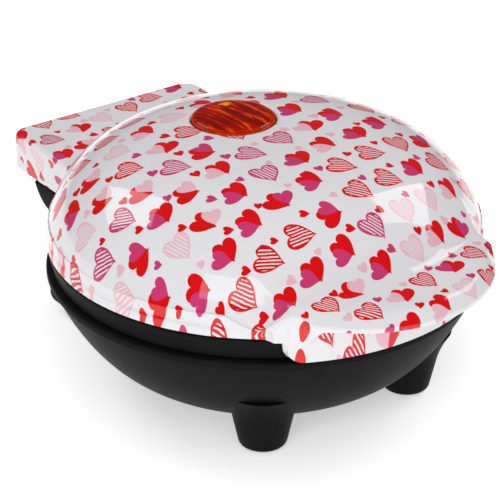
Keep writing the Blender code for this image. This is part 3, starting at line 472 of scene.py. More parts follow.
def from_bmesh(name, shape):
    mesh = bpy.data.meshes.new(name)
    bmesh.ops.recalc_face_normals(shape, faces=shape.faces)
    shape.to_mesh(mesh)
    shape.free()
    return bpy.data.objects.new(name, mesh)


def box(name, low, high):
    shape = bmesh.new()
    bmesh.ops.create_cube(shape, size=1.0)
    low = Vector(low)
    high = Vector(high)
    for vertex in shape.verts:
        vertex.co = Vector(c * s for c, s in zip(vertex.co, high - low)) + (low + high) / 2
    return from_bmesh(name, shape)


def cylinder(name, radius, start, end, segments):
    start = Vector(start)
    end = Vector(end)
    shape = bmesh.new()
    bmesh.ops.create_cone(
        shape,
        cap_ends=True,
        segments=segments,
        radius1=radius,
        radius2=radius,
        depth=(end - start).length,
    )
    turn = (end - start).to_track_quat("Z", "Y").to_matrix()
    bmesh.ops.rotate(shape, matrix=turn, verts=shape.verts)
    bmesh.ops.translate(shape, vec=(start + end) / 2, verts=shape.verts)
    return from_bmesh(name, shape)


def turned(name, profile, segments, closed=False):
    """A turned shape from (radius, z) points; one at radius 0 is a pole."""
    shape = bmesh.new()
    rings = []
    for radius, z in profile:
        if radius < 1e-7:
            rings.append([shape.verts.new((0.0, 0.0, z))] * segments)
        else:
            angles = [math.tau * i / segments for i in range(segments)]
            rings.append([shape.verts.new((radius * math.cos(a), radius * math.sin(a), z)) for a in angles])
    pairs = list(zip(rings, rings[1:]))
    if closed:
        pairs.append((rings[-1], rings[0]))
    for ring, following in pairs:
        for i in range(segments):
            j = (i + 1) % segments
            corners = []
            for vertex in (ring[i], ring[j], following[j], following[i]):
                if vertex not in corners:
                    corners.append(vertex)
            if len(corners) > 2:
                shape.faces.new(corners)
    return from_bmesh(name, shape)


def prism(name, outline, low_x, high_x, bevel=0.0, segments=3):
    """A (y, z) outline given a width along X."""
    shape = bmesh.new()
    ends = [[shape.verts.new((x, y, z)) for y, z in outline] for x in (low_x, high_x)]
    shape.faces.new(ends[0])
    shape.faces.new(ends[1])
    count = len(outline)
    for i in range(count):
        j = (i + 1) % count
        shape.faces.new((ends[0][i], ends[0][j], ends[1][j], ends[1][i]))
    bmesh.ops.recalc_face_normals(shape, faces=shape.faces)
    if bevel:
        sharp = [e for e in shape.edges if e.calc_face_angle(0.0) > math.radians(28)]
        bmesh.ops.bevel(shape, geom=sharp, offset=bevel, segments=segments, profile=0.5, affect="EDGES")
    return from_bmesh(name, shape)


def arc(centre, radius, start, end, steps):
    angles = np.radians(np.linspace(start, end, steps + 1))
    return [(centre[0] + radius * math.cos(a), centre[1] + radius * math.sin(a)) for a in angles]


def in_mm(points):
    return [(a * MM, b * MM) for a, b in points]


def rounded(points, radius, steps=4, closed=True):
    """A 2D outline with its corners rounded."""
    result = []
    count = len(points)
    for i, point in enumerate(points):
        here = Vector(point)
        if not closed and i in (0, count - 1):
            result.append(tuple(here))
            continue
        before = Vector(points[i - 1])
        after = Vector(points[(i + 1) % count])
        a = before - here
        b = after - here
        cut = min(radius, a.length * 0.45, b.length * 0.45)
        start = here + a.normalized() * cut
        end = here + b.normalized() * cut
        for step in range(steps + 1):
            t = step / steps
            result.append(tuple(start * (1 - t) ** 2 + here * 2 * t * (1 - t) + end * t * t))
    return result


def combine(obj, other, operation):
    """Adds or cuts away another shape, for good."""
    for piece in (obj, other):
        if not piece.users_collection:
            HIDDEN.objects.link(piece)
    modifier = obj.modifiers.new(operation, "BOOLEAN")
    modifier.operation = operation
    modifier.solver = "MANIFOLD"
    modifier.object = other
    bpy.context.view_layer.update()
    graph = bpy.context.evaluated_depsgraph_get()
    mesh = bpy.data.meshes.new_from_object(obj.evaluated_get(graph))
    obj.modifiers.clear()
    old = obj.data
    obj.data = mesh
    mesh.name = obj.name
    bpy.data.meshes.remove(old)
    bpy.data.objects.remove(other, do_unlink=True)


def show(obj, body, materials, nodes=(), degrees=35):
    """Places a finished piece from the body's axis into the frame, gives it its looks and lets it ride."""
    if obj.name not in bpy.context.scene.collection.objects:
        bpy.context.scene.collection.objects.link(obj)
    if obj.name in HIDDEN.objects:
        HIDDEN.objects.unlink(obj)
    for vertex in obj.data.vertices:
        vertex.co.y += BODY_Y
        vertex.co.z -= FLOOR_Z
    if not isinstance(materials, (list, tuple)):
        materials = [materials]
    obj.data.materials.clear()
    for material in materials:
        obj.data.materials.append(material)
    smooth(obj, degrees)
    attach(obj, body)
    if nodes:
        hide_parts(*nodes)
    return obj


# ---------------------------------------------------------------- lid cover

def upper_circle_radius():
    """Radius of the dome where its rounded top meets the nearly upright wall."""
    drop = ((DOME_WALL_TOP - COVER_EDGE_Z) / DOME_RISE) ** DOME_SHOULDER
    return COVER_RADIUS * (1.0 - drop) ** (1.0 / DOME_ROUNDNESS)


UPPER_RADIUS = upper_circle_radius()


def dome_height(radius, inset):
    share = radius / (COVER_RADIUS - inset)
    rise = DOME_RISE - inset
    if share < 1.0:
        height = COVER_EDGE_Z + rise * (1.0 - share**DOME_ROUNDNESS) ** (1.0 / DOME_SHOULDER)
        if height > DOME_WALL_TOP - inset:
            return height
    return DOME_WALL_TOP - inset - 4.0 * max(0.0, radius - UPPER_RADIUS + inset)


def smooth_max(a, b, width):
    blend = max(width - abs(a - b), 0.0) / width
    return max(a, b) + blend * blend * width / 4.0


def smooth_step(low, high, value):
    share = min(max((value - low) / (high - low), 0.0), 1.0)
    return share * share * (3.0 - 2.0 * share)


def housing_distance(x, y):
    if y < 0.0:
        return math.hypot(x, y)
    across = abs(x) - HOUSING_HALF_WIDTH + HOUSING_CORNER
    along = abs(y) - HOUSING_REACH + HOUSING_CORNER
    outside = math.hypot(max(across, 0.0), max(along, 0.0))
    return outside + min(max(across, along), 0.0) - HOUSING_CORNER


def handle_distance(x, y):
    return math.hypot(x, y - HANDLE_CENTRE_Y) - HANDLE_RADIUS


def crest_distance(x, y):
    return math.hypot(x, y - CREST_CENTRE_Y) - CREST_RADIUS


def circle_distance(x, y):
    return math.hypot(x, y) - UPPER_RADIUS


def upper_distance(x, y):
    """Plan distance outside the cover's upper outline."""
    circle = math.hypot(x, y) - UPPER_RADIUS
    body = -smooth_max(-circle, -housing_distance(x, y), 1.5 * MM)
    if y > 0.0:
        return body
    return -smooth_max(-body, -handle_distance(x, y), 9.0 * MM)


def lower_distance(x, y):
    """Plan distance outside the cover's lower edge, with the skirt under the handle."""
    circle = math.hypot(x, y) - COVER_RADIUS
    body = -smooth_max(-circle, -housing_distance(x, y), 1.5 * MM)
    if y > 0.0:
        return body
    skirt = max(math.hypot(x, y) - SKIRT_RADIUS, abs(x) - SKIRT_HALF_WIDTH - 3.0 * MM)
    return -smooth_max(-body, -skirt, 2.0 * MM)


def reach_of(distance, direction, inset):
    """How far an outline is from the lens's centre in a direction."""
    near = 30.0 * MM
    far = 120.0 * MM
    for _ in range(34):
        middle = (near + far) / 2
        if distance(direction[0] * middle, LENS_Y + direction[1] * middle) + inset < 0.0:
            near = middle
        else:
            far = middle
    return (near + far) / 2


def top_height(x, y, inset):
    height = dome_height(math.hypot(x, y), inset)
    if y > 20.0 * MM:
        beside = 2.5 * max(0.0, abs(x) - HOUSING_HALF_WIDTH)
        height = smooth_max(height, HOUSING_TOP_Z - inset - beside, 1.6 * MM)
    if y < -20.0 * MM:
        height = smooth_max(height, handle_top(x, y) - inset, 9.0 * MM)
    return height


def handle_top(x, y):
    """The handle's top, which rises gently from its crest and sinks away outside it."""
    rise = 0.07 * max(0.0, -crest_distance(x, y))
    outside = max(0.0, handle_distance(x, y) + 2.0 * MM)
    return CREST_Z + rise - 2.0 * outside


def skirt_share(x):
    """How far down the skirt's edge hangs: fully in the middle, then up round its corner."""
    past = (abs(x) - SKIRT_HALF_WIDTH + SKIRT_CORNER) / SKIRT_CORNER
    if past <= 0.0:
        return 1.0
    if past >= 1.0:
        return 0.0
    depth = SKIRT_CORNER / (COVER_EDGE_Z - SKIRT_EDGE_Z)
    return 1.0 - depth * (1.0 - math.sqrt(1.0 - past * past))


def cover_section(angle, inset, count, shoulder_steps, corner):
    """A radial section of the cover, from the lens opening out and down to its edge, as (reach, height)."""
    direction = (math.cos(angle), math.sin(angle))

    def top(reach):
        return top_height(direction[0] * reach, LENS_Y + direction[1] * reach, inset)

    upper = reach_of(upper_distance, direction, inset)
    lower = reach_of(lower_distance, direction, inset)
    x = direction[0] * upper
    y = LENS_Y + direction[1] * upper
    beyond = math.hypot(x, y) - UPPER_RADIUS + inset
    handle = smooth_step(2.0 * MM, 9.0 * MM, beyond) if y < 0.0 else 0.0
    housing = smooth_step(0.5 * MM, 4.0 * MM, beyond) if y > 0.0 else 0.0

    crest = min(max(upper - reach_of(crest_distance, direction, inset), 0.5 * MM), 6.0 * MM)
    run = 0.5 * MM + 1.1 * MM * housing + (crest - 0.5 * MM) * handle
    drop = 0.5 * MM + 1.1 * MM * housing + 2.6 * MM * handle
    # The first rows follow the round dome, so that they run smoothly past the handle and the housing.
    hole = LENS_HOLE_RADIUS
    inner_reach = hole + (reach_of(circle_distance, direction, inset) - hole) * INNER_SHARE
    section = []
    for share in np.linspace(0.0, 1.0, count):
        if share <= INNER_SHARE:
            reach = hole + (inner_reach - hole) * share / INNER_SHARE
        else:
            reach = inner_reach + (upper - run - inner_reach) * (share - INNER_SHARE) / (1.0 - INNER_SHARE)
        section.append((reach, top(reach)))
    shoulder = section[-1][1]
    for step in range(1, shoulder_steps + 1):
        share = math.sin(step / shoulder_steps * math.pi / 2)
        round_drop = 1.0 - math.sqrt(max(0.0, 1.0 - share * share))
        slope_drop = share**1.3
        fall = round_drop + (slope_drop - round_drop) * handle
        section.append((upper - run * (1.0 - share), shoulder - drop * fall))
    wall_top = shoulder - drop

    edge = COVER_EDGE_Z + (HOUSING_EDGE_Z - COVER_EDGE_Z) * housing
    if y < 0.0:
        edge += (SKIRT_EDGE_Z - COVER_EDGE_Z) * skirt_share(direction[0] * lower)
    overhang = smooth_step(0.5 * MM, 3.0 * MM, upper - lower) if y < 0.0 else 0.0
    lip = LIP_Z + 0.6 * inset
    plain = wall_top - 0.45 * (wall_top - edge)
    below = wall_top - 0.65 * (wall_top - edge)
    scoop = overhang * (1.0 - smooth_step(26.0 * MM, 33.0 * MM, abs(x)))
    corners = [
        (upper, wall_top),
        (upper, plain + (lip - plain) * overhang),
        (lower, below + (lip - 0.8 * MM - below) * scoop),
        (lower, edge),
    ]
    section += rounded(corners, corner, 5, closed=False)[1:]
    return direction, section


# Bearings from the lens's centre, from the front to the rear, as (from, to, steps). They are closer
# together where the outline turns.
COVER_STRETCHES = (
    (0, 12, 14),
    (12, 34, 56),
    (34, 50, 22),
    (50, 126, 66),
    (126, 160, 84),
    (160, 180, 22),
)


def cover_bearings():
    half = []
    for low, high, steps in COVER_STRETCHES:
        half += [math.radians(low + (high - low) * step / steps) for step in range(steps)]
    right = half + [math.pi]
    left = [-angle for angle in right[1:-1]]
    return [angle - math.pi / 2 for angle in right + left[::-1]]


def make_cover(print_material, white):
    """The printed cover, with plain white inside."""
    shape = bmesh.new()
    rings = []
    for angle in cover_bearings():
        direction, outer = cover_section(angle, 0.0, 84, 9, 1.0 * MM)
        _, inner = cover_section(angle, COVER_WALL, 20, 3, 0.6 * MM)
        # The opening's rim and the lower edge are slightly rounded.
        reach, height = outer[0]
        rim = [(reach + r * MM, height - z * MM) for r, z in ((0.0, 0.9), (0.12, 0.45), (0.45, 0.12))]
        rim.append((reach + 1.1 * MM, outer[1][1]))
        beyond = [p for p in outer[1:] if p[0] > reach + 1.3 * MM or p[1] < height - 4 * MM]
        rings.append((direction, rim + beyond, inner[::-1]))
    length = min(len(outer) for _, outer, _ in rings)
    rows = []
    for direction, outer, inner in rings:
        outer = outer[:4] + outer[len(outer) - length + 4 :]
        points = [(direction[0] * r, LENS_Y + direction[1] * r, z) for r, z in outer + inner]
        rows.append([shape.verts.new(point) for point in points])
    for ring, following in zip(rows, rows[1:] + rows[:1]):
        count = len(ring)
        for i in range(count):
            j = (i + 1) % count
            face = shape.faces.new((ring[i], ring[j], following[j], following[i]))
            face.material_index = 0 if i < length - 1 else 1
    cover = from_bmesh("printed_cover", shape)
    for index, (x, y) in enumerate(lid_screw_places()):
        boss = cylinder(f"boss_{index}", 2.4 * MM, (x, y, 45.0 * MM), (x, y, 57.6 * MM), 24)
        bore = cylinder(f"bore_{index}", 1.3 * MM, (x, y, 44.0 * MM), (x, y, 54.5 * MM), 24)
        combine(boss, bore, "DIFFERENCE")
        show(boss, "lid", white)
        boss.name = f"cover_boss_{index + 1}"
    show(cover, "lid", [print_material, white], ["lid_cover"], 50)


def lid_screw_places():
    radius = 57.8 * MM
    return [(radius * math.cos(a), radius * math.sin(a)) for a in np.radians((35, 145, 215, 325))]


# ---------------------------------------------------------------- lid frame, lens and lamps

def make_frame(black):
    """The black ring under the cover, with the flange that carries the plate and the hinge arms."""
    profile = [
        (60.5, 49.5),
        (62.3, 49.5),
        (62.4, 46.8),
        (64.4, 46.8),
        (64.0, 44.4),
        (63.75, 44.1),
        (63.1, 40.6),
        (61.3, 40.6),
        (61.4, 43.1),
        (52.3, 43.1),
        (52.3, 44.7),
        (60.5, 44.7),
    ]
    ring = turned("ring_frame", rounded(in_mm(profile), 0.35 * MM, 3), 192, closed=True)
    notch = box("notch", (-17.6 * MM, 55.6 * MM, 38.0 * MM), (17.6 * MM, 80.0 * MM, 52.0 * MM))
    combine(ring, notch, "DIFFERENCE")
    arm = [(56.0 * MM, 41.2 * MM), (59.0 * MM, 40.6 * MM)]
    arm += arc((HINGE_Y, HINGE_Z), ARM_RADIUS, 236, 352, 36)
    arm += [(HINGE_Y + ARM_RADIUS, 52.0 * MM), (HINGE_Y + 6.0 * MM, 54.8 * MM), (56.0 * MM, 54.8 * MM)]
    for low, high in ((-ARM_OUTER_X, -ARM_INNER_X), (ARM_INNER_X, ARM_OUTER_X)):
        combine(ring, prism("arm", arm, low, high), "UNION")
    cheek = [(54.5 * MM, 41.6 * MM)]
    cheek += arc((HINGE_Y, HINGE_Z), CHEEK_RADIUS, 238, 340, 40)
    cheek += [(54.5 * MM, 45.3 * MM)]
    wide = HOUSING_HALF_WIDTH - 0.4 * MM
    for low, high in ((-wide, 1.0 * MM - ARM_OUTER_X), (ARM_OUTER_X - 1.0 * MM, wide)):
        combine(ring, prism("cheek", cheek, low, high, 0.5 * MM, 3), "UNION")
    tail = box("tail", (-30.6 * MM, 73.0 * MM, 47.8 * MM), (30.6 * MM, 86.6 * MM, 49.4 * MM))
    combine(ring, tail, "UNION")
    slot = box("tail_slot", (-17.6 * MM, 70.0 * MM, 47.0 * MM), (17.6 * MM, 77.0 * MM, 51.0 * MM))
    combine(ring, slot, "DIFFERENCE")
    for sign in (-1, 1):
        ends = [(sign * x * MM, HINGE_Y, HINGE_Z) for x in (10.0, 28.4)]
        combine(ring, cylinder("bore", PIN_RADIUS + GAP, *ends, 32), "DIFFERENCE")
    for x, y in lid_screw_places():
        combine(ring, cylinder("hole", 1.6 * MM, (x, y, 42.0 * MM), (x, y, 46.0 * MM), 24), "DIFFERENCE")
    show(ring, "lid", black, ["lid_frame"])


def make_lens(red):
    """The red window: a shallow dome with a rolled rim, standing in the cover's opening."""
    seat = 78.9 * MM
    profile = [(0.0, seat + 2.2 * MM)]
    dome_radius = LENS_RADIUS * 0.955 / math.sin(math.radians(80))
    for a in np.radians(np.linspace(4, 80, 24)):
        profile.append((dome_radius * math.sin(a), seat + 0.25 * MM + 1.95 * MM * math.cos(a)))
    profile += arc((LENS_RADIUS - 0.42 * MM, seat - 0.05 * MM), 0.42 * MM, 150, 0, 8)
    profile += [
        (LENS_RADIUS, 75.9 * MM),
        (LENS_RADIUS + 1.9 * MM, 75.9 * MM),
        (LENS_RADIUS + 1.9 * MM, 74.9 * MM),
        (LENS_RADIUS - 1.6 * MM, 74.9 * MM),
        (LENS_RADIUS - 1.6 * MM, seat - 1.0 * MM),
        (0.0, seat + 0.6 * MM),
    ]
    lens = turned("red_window", profile, 144)
    for vertex in lens.data.vertices:
        vertex.co.y += LENS_Y
    show(lens, "lid", red, ["indicator_lens"], 40)


# ---------------------------------------------------------------- cooking plates

def stud_places():
    half = STUD_PITCH * 0.37
    grid = [(c * STUD_PITCH, r * STUD_PITCH) for c in range(-4, 5) for r in range(-4, 5)]
    return [(x, y) for x, y in grid if math.hypot(abs(x) + half, abs(y) + half) < CAVITY_RADIUS - 0.5 * MM]


def stud(name, x, y, root, tip):
    """A square stud, narrower at its tip, with its edges rounded."""
    shape = bmesh.new()
    bmesh.ops.create_cube(shape, size=1.0)
    for vertex in shape.verts:
        at_tip = vertex.co.z > 0
        width = STUD_PITCH * (0.5 if at_tip else 0.72)
        vertex.co = Vector((x + vertex.co.x * width, y + vertex.co.y * width, tip if at_tip else root))
    edges = [e for e in shape.edges if any(abs(v.co.z - tip) < 1e-6 for v in e.verts)]
    bmesh.ops.bevel(shape, geom=edges, offset=0.9 * MM, segments=3, profile=0.5, affect="EDGES")
    return from_bmesh(name, shape)


def make_plate(name, node, face, away, body, coating):
    back = CAVITY_DEPTH + PLATE_WALL
    profile = [
        (0.0, back),
        (PLATE_BACK_RADIUS - 2.0 * MM, back),
        (PLATE_BACK_RADIUS, back - 2.0 * MM),
        (PLATE_BACK_RADIUS, PLATE_RIM),
        (PLATE_RADIUS, PLATE_RIM),
        (PLATE_RADIUS, 0.0),
        (CAVITY_RADIUS + 2.6 * MM, 0.0),
        (CAVITY_RADIUS + 2.3 * MM, 0.35 * MM),
        (CAVITY_RADIUS + 1.7 * MM, 0.35 * MM),
        (CAVITY_RADIUS + 1.4 * MM, 0.0),
        (CAVITY_RADIUS + 0.2 * MM, 0.2 * MM),
        (CAVITY_RADIUS - 1.2 * MM, CAVITY_DEPTH),
        (0.0, CAVITY_DEPTH),
    ]
    outline = rounded(profile, 0.7 * MM, 4, closed=False)
    plate = turned(name, [(r, face + away * z) for r, z in outline], 160)
    root = face + away * (CAVITY_DEPTH + 0.6 * MM)
    tip = face + away * (CAVITY_DEPTH - STUD_HEIGHT)
    joined = bmesh.new()
    for x, y in stud_places():
        piece = stud("stud", x, y, root, tip)
        joined.from_mesh(piece.data)
        bpy.data.objects.remove(piece, do_unlink=True)
    combine(plate, from_bmesh("studs", joined), "UNION")
    show(plate, body, coating, [node], 40)


# ---------------------------------------------------------------- base

def bowl_profile(inset, steps):
    profile = []
    for share in np.linspace(1.0, 0.0, steps + 1):
        quarter = share * math.pi / 2
        radius = BOWL_FLOOR_RADIUS + (RIM_RADIUS - BOWL_FLOOR_RADIUS) * math.sin(quarter) ** (2 / 3.06)
        z = BOWL_FLOOR_Z + (RIM_Z - BOWL_FLOOR_Z) * (1.0 - math.cos(quarter) ** (2 / 1.09))
        lift = inset * (1.0 - (z - BOWL_FLOOR_Z) / (RIM_Z - BOWL_FLOOR_Z))
        profile.append((radius - inset, z + lift))
    return profile


def gland_axis():
    low = Vector((0.0, *TOWER_HEEL))
    high = Vector((0.0, *TOWER_SHELF))
    slope = (high - low).normalized()
    return (low + high) / 2, Vector((0.0, slope.z, -slope.y))


def foot_places():
    return [(sx * FOOT_X, sy * FOOT_Y) for sy in (-1, 1) for sx in (-1, 1)]


def make_bowl(black):
    """Bowl, rear block and feet in one moulding, hollow, with the hinge's middle knuckle."""
    edge = [(0.0, RIM_Z), (RIM_RADIUS, RIM_Z), (RIM_RADIUS, RIM_Z - 1.9 * MM)]
    top = rounded(edge, 1.0 * MM, 6, closed=False)
    bowl = bowl_profile(0.0, 60)
    rim = [(r, z) for r, z in bowl if z < RIM_Z - 2.2 * MM]
    outer = top + [(RIM_RADIUS - 0.25 * MM, RIM_Z - 2.0 * MM)] + rim + [(0.0, BOWL_FLOOR_Z)]
    shell = turned("bowl", outer, 192)

    outline = [(37.0 * MM, RIM_Z - 0.3 * MM), (TOWER_REAR_Y, RIM_Z - 0.3 * MM), (TOWER_REAR_Y, 23.6 * MM)]
    outline += [TOWER_SHELF, TOWER_HEEL]
    outline += arc((TOWER_HEEL[0] - 3.0 * MM, 8.6 * MM), 3.2 * MM, 20, -90, 10)
    outline += [(50.0 * MM, 5.4 * MM), (37.0 * MM, 9.0 * MM)]
    tower = prism("tower", outline, -TOWER_HALF_WIDTH, TOWER_HALF_WIDTH, 1.6 * MM, 4)
    combine(shell, tower, "UNION")
    relief = box("relief", (-40 * MM, TOWER_REAR_Y, 23.6 * MM), (40 * MM, 80 * MM, 45 * MM))
    combine(shell, relief, "DIFFERENCE")

    for x, y in foot_places():
        low = FLOOR_Z + 0.7 * MM
        outline = [(0.0, 22.0 * MM)]
        for z in np.linspace(22.0, 6.0, 17) * MM:
            flare = max(0.0, z - 12.5 * MM) ** 2 * 22.0
            outline.append((FOOT_RADIUS + (z - low) * FOOT_TAPER + flare, z))
        outline += rounded([outline[-1], (FOOT_RADIUS, low), (0.0, low)], 1.5 * MM, 6, closed=False)[1:]
        foot = turned("foot", outline, 64)
        for vertex in foot.data.vertices:
            vertex.co.x += x
            vertex.co.y += y
        combine(shell, foot, "UNION")

    cavity_profile = [(0.0, RIM_Z + 1.0 * MM), (RIM_RADIUS - SHELL_WALL, RIM_Z + 1.0 * MM)]
    cavity_profile += bowl_profile(SHELL_WALL, 24) + [(0.0, BOWL_FLOOR_Z + SHELL_WALL)]
    cavity = turned("cavity", cavity_profile, 128)
    keep = box("keep", (-50 * MM, TOWER_REAR_Y - SHELL_WALL, 0.0), (50 * MM, 80 * MM, 45 * MM))
    combine(cavity, keep, "DIFFERENCE")
    combine(shell, cavity, "DIFFERENCE")

    inner = TOWER_HALF_WIDTH - SHELL_WALL
    room = [(42.0, 36.0), (58.0, 36.0), (58.0, 22.6), (64.6, 17.1), (67.2, 10.3)]
    room += [(66.4, 8.2), (50.0, 8.2), (44.0, 12.0), (42.0, 16.0)]
    combine(shell, prism("room", in_mm(room), -inner, inner), "DIFFERENCE")

    sweep_ends = ((-36.0 * MM, HINGE_Y, HINGE_Z), (36.0 * MM, HINGE_Y, HINGE_Z))
    combine(shell, cylinder("sweep", ARM_RADIUS + 1.1 * MM, *sweep_ends, 96), "DIFFERENCE")
    for sign in (-1, 1):
        ends = [(sign * x * MM, HINGE_Y, HINGE_Z) for x in (30.0, 36.0)]
        combine(shell, cylinder("cheek_sweep", CHEEK_RADIUS + 0.6 * MM, *ends, 96), "DIFFERENCE")

    neck = [(TOWER_REAR_Y - 6.0 * MM, 34.0 * MM), (TOWER_REAR_Y, 34.0 * MM)]
    neck.append((TOWER_REAR_Y + 2.6 * MM, 41.0 * MM))
    neck += arc((HINGE_Y, HINGE_Z), KNUCKLE_RADIUS, -35, 190, 40)
    neck += [(57.6 * MM, 40.0 * MM)]
    combine(shell, prism("knuckle", neck, -KNUCKLE_HALF_WIDTH, KNUCKLE_HALF_WIDTH), "UNION")
    for sign in (-1, 1):
        ends = [(sign * x * MM, HINGE_Y, HINGE_Z) for x in (8.0, 20.0)]
        combine(shell, cylinder("bore", PIN_RADIUS + GAP, *ends, 32), "DIFFERENCE")
    middle, outward = gland_axis()
    way_out = cylinder("cord_hole", 3.8 * MM, middle - outward * 8 * MM, middle + outward * 6 * MM, 48)
    combine(shell, way_out, "DIFFERENCE")
    for angle in np.radians((90, 210, 330)):
        x = 30.0 * MM * math.cos(angle)
        y = 30.0 * MM * math.sin(angle)
        combine(shell, cylinder("pillar", 4.2 * MM, (x, y, 7.6 * MM), (x, y, 21.2 * MM), 32), "UNION")
        combine(shell, cylinder("bore", 1.7 * MM, (x, y, 2.0 * MM), (x, y, 24.0 * MM), 24), "DIFFERENCE")
        combine(shell, cylinder("sink", 3.1 * MM, (x, y, 2.0 * MM), (x, y, 12.0 * MM), 32), "DIFFERENCE")
    for x, y in foot_places():
        seat = cylinder("seat", 5.2 * MM, (x, y, 0.0), (x, y, FLOOR_Z + 2.4 * MM), 40)
        combine(shell, seat, "DIFFERENCE")
    show(shell, "base", black, ["base_shell"], 32)


def make_deck(black):
    """The black deck between the bowl's rim and the lower plate."""
    profile = [(55.4, 39.8), (62.3, 39.8), (61.7, 38.2), (57.0, 38.2)]
    profile += [(57.0, 36.4), (52.3, 36.4), (52.3, 37.9), (55.4, 37.9)]
    ring = turned("deck_ring", rounded(in_mm(profile), 0.3 * MM, 3), 160, closed=True)
    low_y = TOWER_REAR_Y - SHELL_WALL - 3.6 * MM
    combine(ring, box("trim", (-32 * MM, low_y, 30 * MM), (32 * MM, 80 * MM, 45 * MM)), "DIFFERENCE")
    show(ring, "base", black, ["base_ring"])


def make_gland(rubber):
    """The ribbed bush that the supply cord would come out of."""
    profile = [(2.4, 2.6), (4.0, 2.6), (4.4, 2.3), (5.3, 1.8)]
    profile += [(5.3, 0.3), (3.5, 0.3), (3.5, -4.0), (2.4, -4.0)]
    gland = turned("cord_bush", rounded(in_mm(profile), 0.25 * MM, 3), 64, closed=True)
    middle, outward = gland_axis()
    gland.data.transform(outward.to_track_quat("Z", "Y").to_matrix().to_4x4())
    for vertex in gland.data.vertices:
        vertex.co += middle
    show(gland, "base", rubber, ["cord_gland"])


def make_screw(name, node, place, head_z, tip_z, head_radius, steel):
    """A pan-head screw of the lid, with a cross recess. head_z is the outer face of its head."""
    way = 1.0 if tip_z > head_z else -1.0
    shank = 1.2 * MM
    head = 1.6 * MM
    profile = [(0.0, tip_z), (shank * 0.4, tip_z - way * 0.3 * MM), (shank, tip_z - way * 1.4 * MM)]
    profile += [(shank, head_z + way * head), (head_radius, head_z + way * head)]
    for a in np.radians(np.linspace(0, 80, 8)):
        dip = (0.9 - 0.9 * math.sin(a)) * MM
        profile.append((head_radius * (0.55 + 0.45 * math.cos(a)), head_z + way * dip))
    profile.append((0.0, head_z))
    screw = turned(name, profile, 48)
    for vertex in screw.data.vertices:
        vertex.co.x += place[0]
        vertex.co.y += place[1]
    reach = head_radius * 0.6
    for turn in (30, 120):
        slot = box("slot", (-reach, -0.3 * MM, -0.8 * MM), (reach, 0.3 * MM, 0.8 * MM))
        slot.data.transform(Matrix.Rotation(math.radians(turn), 4, "Z"))
        slot.data.transform(Matrix.Translation((place[0], place[1], head_z)))
        combine(screw, slot, "DIFFERENCE")
    show(screw, "lid", steel, [node])


# ---------------------------------------------------------------- materials of the rest

def window_red():
    """Clear red moulding over fine ribs, painted: painted shade in its dark grooves, and painted orange
    light in the streaks where light comes through.
    """
    material, shader, g = new_material(
        "window_red", Roughness=0.3, Specular_IOR_Level=0.0, Coat_Weight=0.5, Coat_Roughness=0.02
    )
    along = g.node("ShaderNodeMapping", {"Vector": g.place(), "Rotation": (0.0, 0.0, 1.43)}).outputs[0]
    ribs = g.node("ShaderNodeMapping", {"Vector": along, "Scale": (0.11, 1.0, 0.3)}).outputs[0]
    fine = g.math("MULTIPLY", g.noise(820.0, 2.0, ribs), 0.72)
    streak = g.math("ADD", fine, g.math("MULTIPLY", g.noise(170.0, 3.0), 0.28))
    # Painted shade and light: the dark stops stand in for shade in the grooves, the orange stop for light
    # coming through the ribs.
    stops = [
        (0.36, (0.10, 0.010, 0.006)),
        (0.45, (0.26, 0.004, 0.0005)),
        (0.55, (0.48, 0.008, 0.0003)),
        (0.62, (0.80, 0.10, 0.001)),
        (0.66, (0.44, 0.010, 0.0005)),
    ]
    colour = g.ramp(streak, stops)
    # Painted light: an orange band of painted light in the rolled rim, where light gathers.
    place = g.node("ShaderNodeSeparateXYZ", {"Vector": g.place()}).outputs
    y = g.math("SUBTRACT", place["Y"], LENS_Y + BODY_Y)
    # The mask of the painted rim light, from the window's centre out to its edge.
    rim = g.remap(g.length(place["X"], y), 0.0, 1.0, 11.3 * MM, 11.9 * MM)
    colour = g.mix(g.math("MULTIPLY", rim, 0.7), colour, (0.62, 0.035, 0.001, 1.0))
    # Painted highlight: a warm yellow-orange glint towards the window's rear, with a wavering edge.
    glint_x = g.math("DIVIDE", g.math("SUBTRACT", place["X"], 1.2 * MM), 1.8 * MM)
    glint_y = g.math("DIVIDE", g.math("SUBTRACT", y, 6.4 * MM), 1.3 * MM)
    waver = g.math("MULTIPLY", g.math("SUBTRACT", g.noise(700.0, 2.0), 0.5), 2.4)
    uneven = g.math("ADD", g.length(glint_x, glint_y), waver)
    colour = g.mix(g.remap(uneven, 0.95, 0.0, 0.4, 1.3), colour, (1.0, 0.40, 0.01, 1.0))
    g.put(shader.inputs["Base Color"], colour)
    g.put(shader.inputs["Normal"], g.bump(streak, 0.25, 0.0004))
    return material


def plain_white():
    return moulded("plain_white", (0.78, 0.78, 0.80), 0.3, 0.03, 0.04, Coat_Weight=0.3)


def non_stick():
    """Dark non-stick coating with fine pale flecks."""
    material, shader, g = new_material("non_stick", Metallic=0.25, Coat_Weight=0.25, Coat_Roughness=0.25)
    flecks = g.node("ShaderNodeTexVoronoi", {"Vector": g.place(), "Scale": 1600.0}).outputs["Distance"]
    patchy = g.math("GREATER_THAN", g.noise(900.0, 2.0), 0.56)
    speck = g.math("MULTIPLY", g.math("LESS_THAN", flecks, 0.16), patchy)
    dark = g.ramp(g.noise(70.0, 4.0), [(0.3, (0.030, 0.030, 0.032)), (0.7, (0.045, 0.045, 0.047))])
    g.put(shader.inputs["Base Color"], g.mix(speck, dark, (0.16, 0.16, 0.165, 1.0)))
    g.put(shader.inputs["Roughness"], g.remap(g.noise(200.0, 5.0), 0.30, 0.44))
    g.put(shader.inputs["Normal"], g.bump(g.noise(3000.0, 2.0), 0.12, 0.0002))
    return material


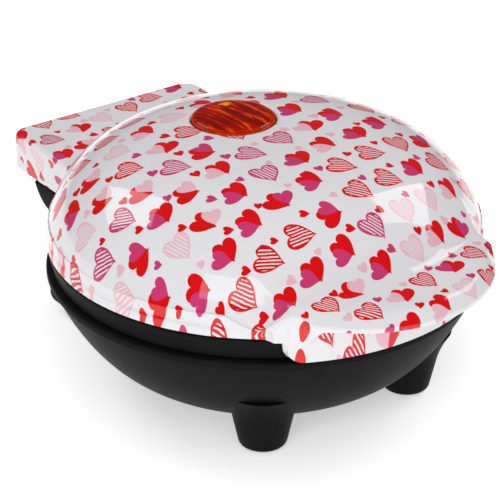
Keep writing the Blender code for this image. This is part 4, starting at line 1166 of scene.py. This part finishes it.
def woven_sleeve():
    material, shader, g = new_material("woven_sleeve", Roughness=0.8, Sheen_Weight=0.3)
    wave = g.node("ShaderNodeTexWave", {"Vector": g.place(), "Scale": 900.0, "Distortion": 2.0})
    stops = [(0.2, (0.62, 0.60, 0.55)), (0.8, (0.86, 0.85, 0.80))]
    g.put(shader.inputs["Base Color"], g.ramp(wave.outputs["Fac"], stops))
    g.put(shader.inputs["Normal"], g.bump(wave.outputs["Fac"], 0.4, 0.0003))
    return material


def dress_cad(materials):
    """Gives the CAD pieces that stay their finishes, by the record's slots."""
    slots = {entry["node"]: entry["material_slot"] for entry in frame["record"]["subparts"]}
    for name, obj in frame["nodes"].items():
        if obj.hide_render:
            continue
        material = materials[slots[name]]
        obj.data.materials.clear()
        obj.data.materials.append(material)


# ---------------------------------------------------------------- assembly

make_camera()
make_studio()
make_floor()
make_backdrop()

black = moulded("satin_black", (0.0098, 0.0098, 0.0100), 0.45, 0.08, 0.12, Specular_IOR_Level=0.03)
rubber = moulded("black_rubber", (0.016, 0.016, 0.016), 0.75, 0.25, 0.2)
steel = metal("plated_steel", (0.58, 0.59, 0.60), 0.32)
coating = non_stick()
white = plain_white()

make_cover(printed_white(), white)
make_frame(black)
make_lens(window_red())
make_plate("cooking_plate_upper", "upper_plate", UPPER_PLATE_LOW_Z, 1.0, "lid", coating)
make_plate("cooking_plate_lower", "lower_plate", LOWER_PLATE_TOP_Z, -1.0, "base", coating)
make_bowl(black)
make_deck(black)
make_gland(rubber)
for number, place in enumerate(lid_screw_places(), 1):
    make_screw(f"frame_screw_{number}", f"lid_screw_{number}", place, 41.2 * MM, 53.6 * MM, 2.2 * MM, steel)

dress_cad(
    {
        "natural_nylon": moulded("natural_nylon", (0.72, 0.70, 0.62), 0.5, 0.05, 0.06),
        "lamp_glass": moulded("lamp_glass", (0.85, 0.32, 0.10), 0.12, 0.02, 0.1, Transmission_Weight=0.6),
        "plated_steel": steel,
        "black_rubber": rubber,
        "white_ceramic": moulded("white_ceramic", (0.80, 0.79, 0.75), 0.35, 0.05, 0.05),
        "glass_sleeve": woven_sleeve(),
    }
)

for helper in list(HIDDEN.objects):
    bpy.data.objects.remove(helper, do_unlink=True)
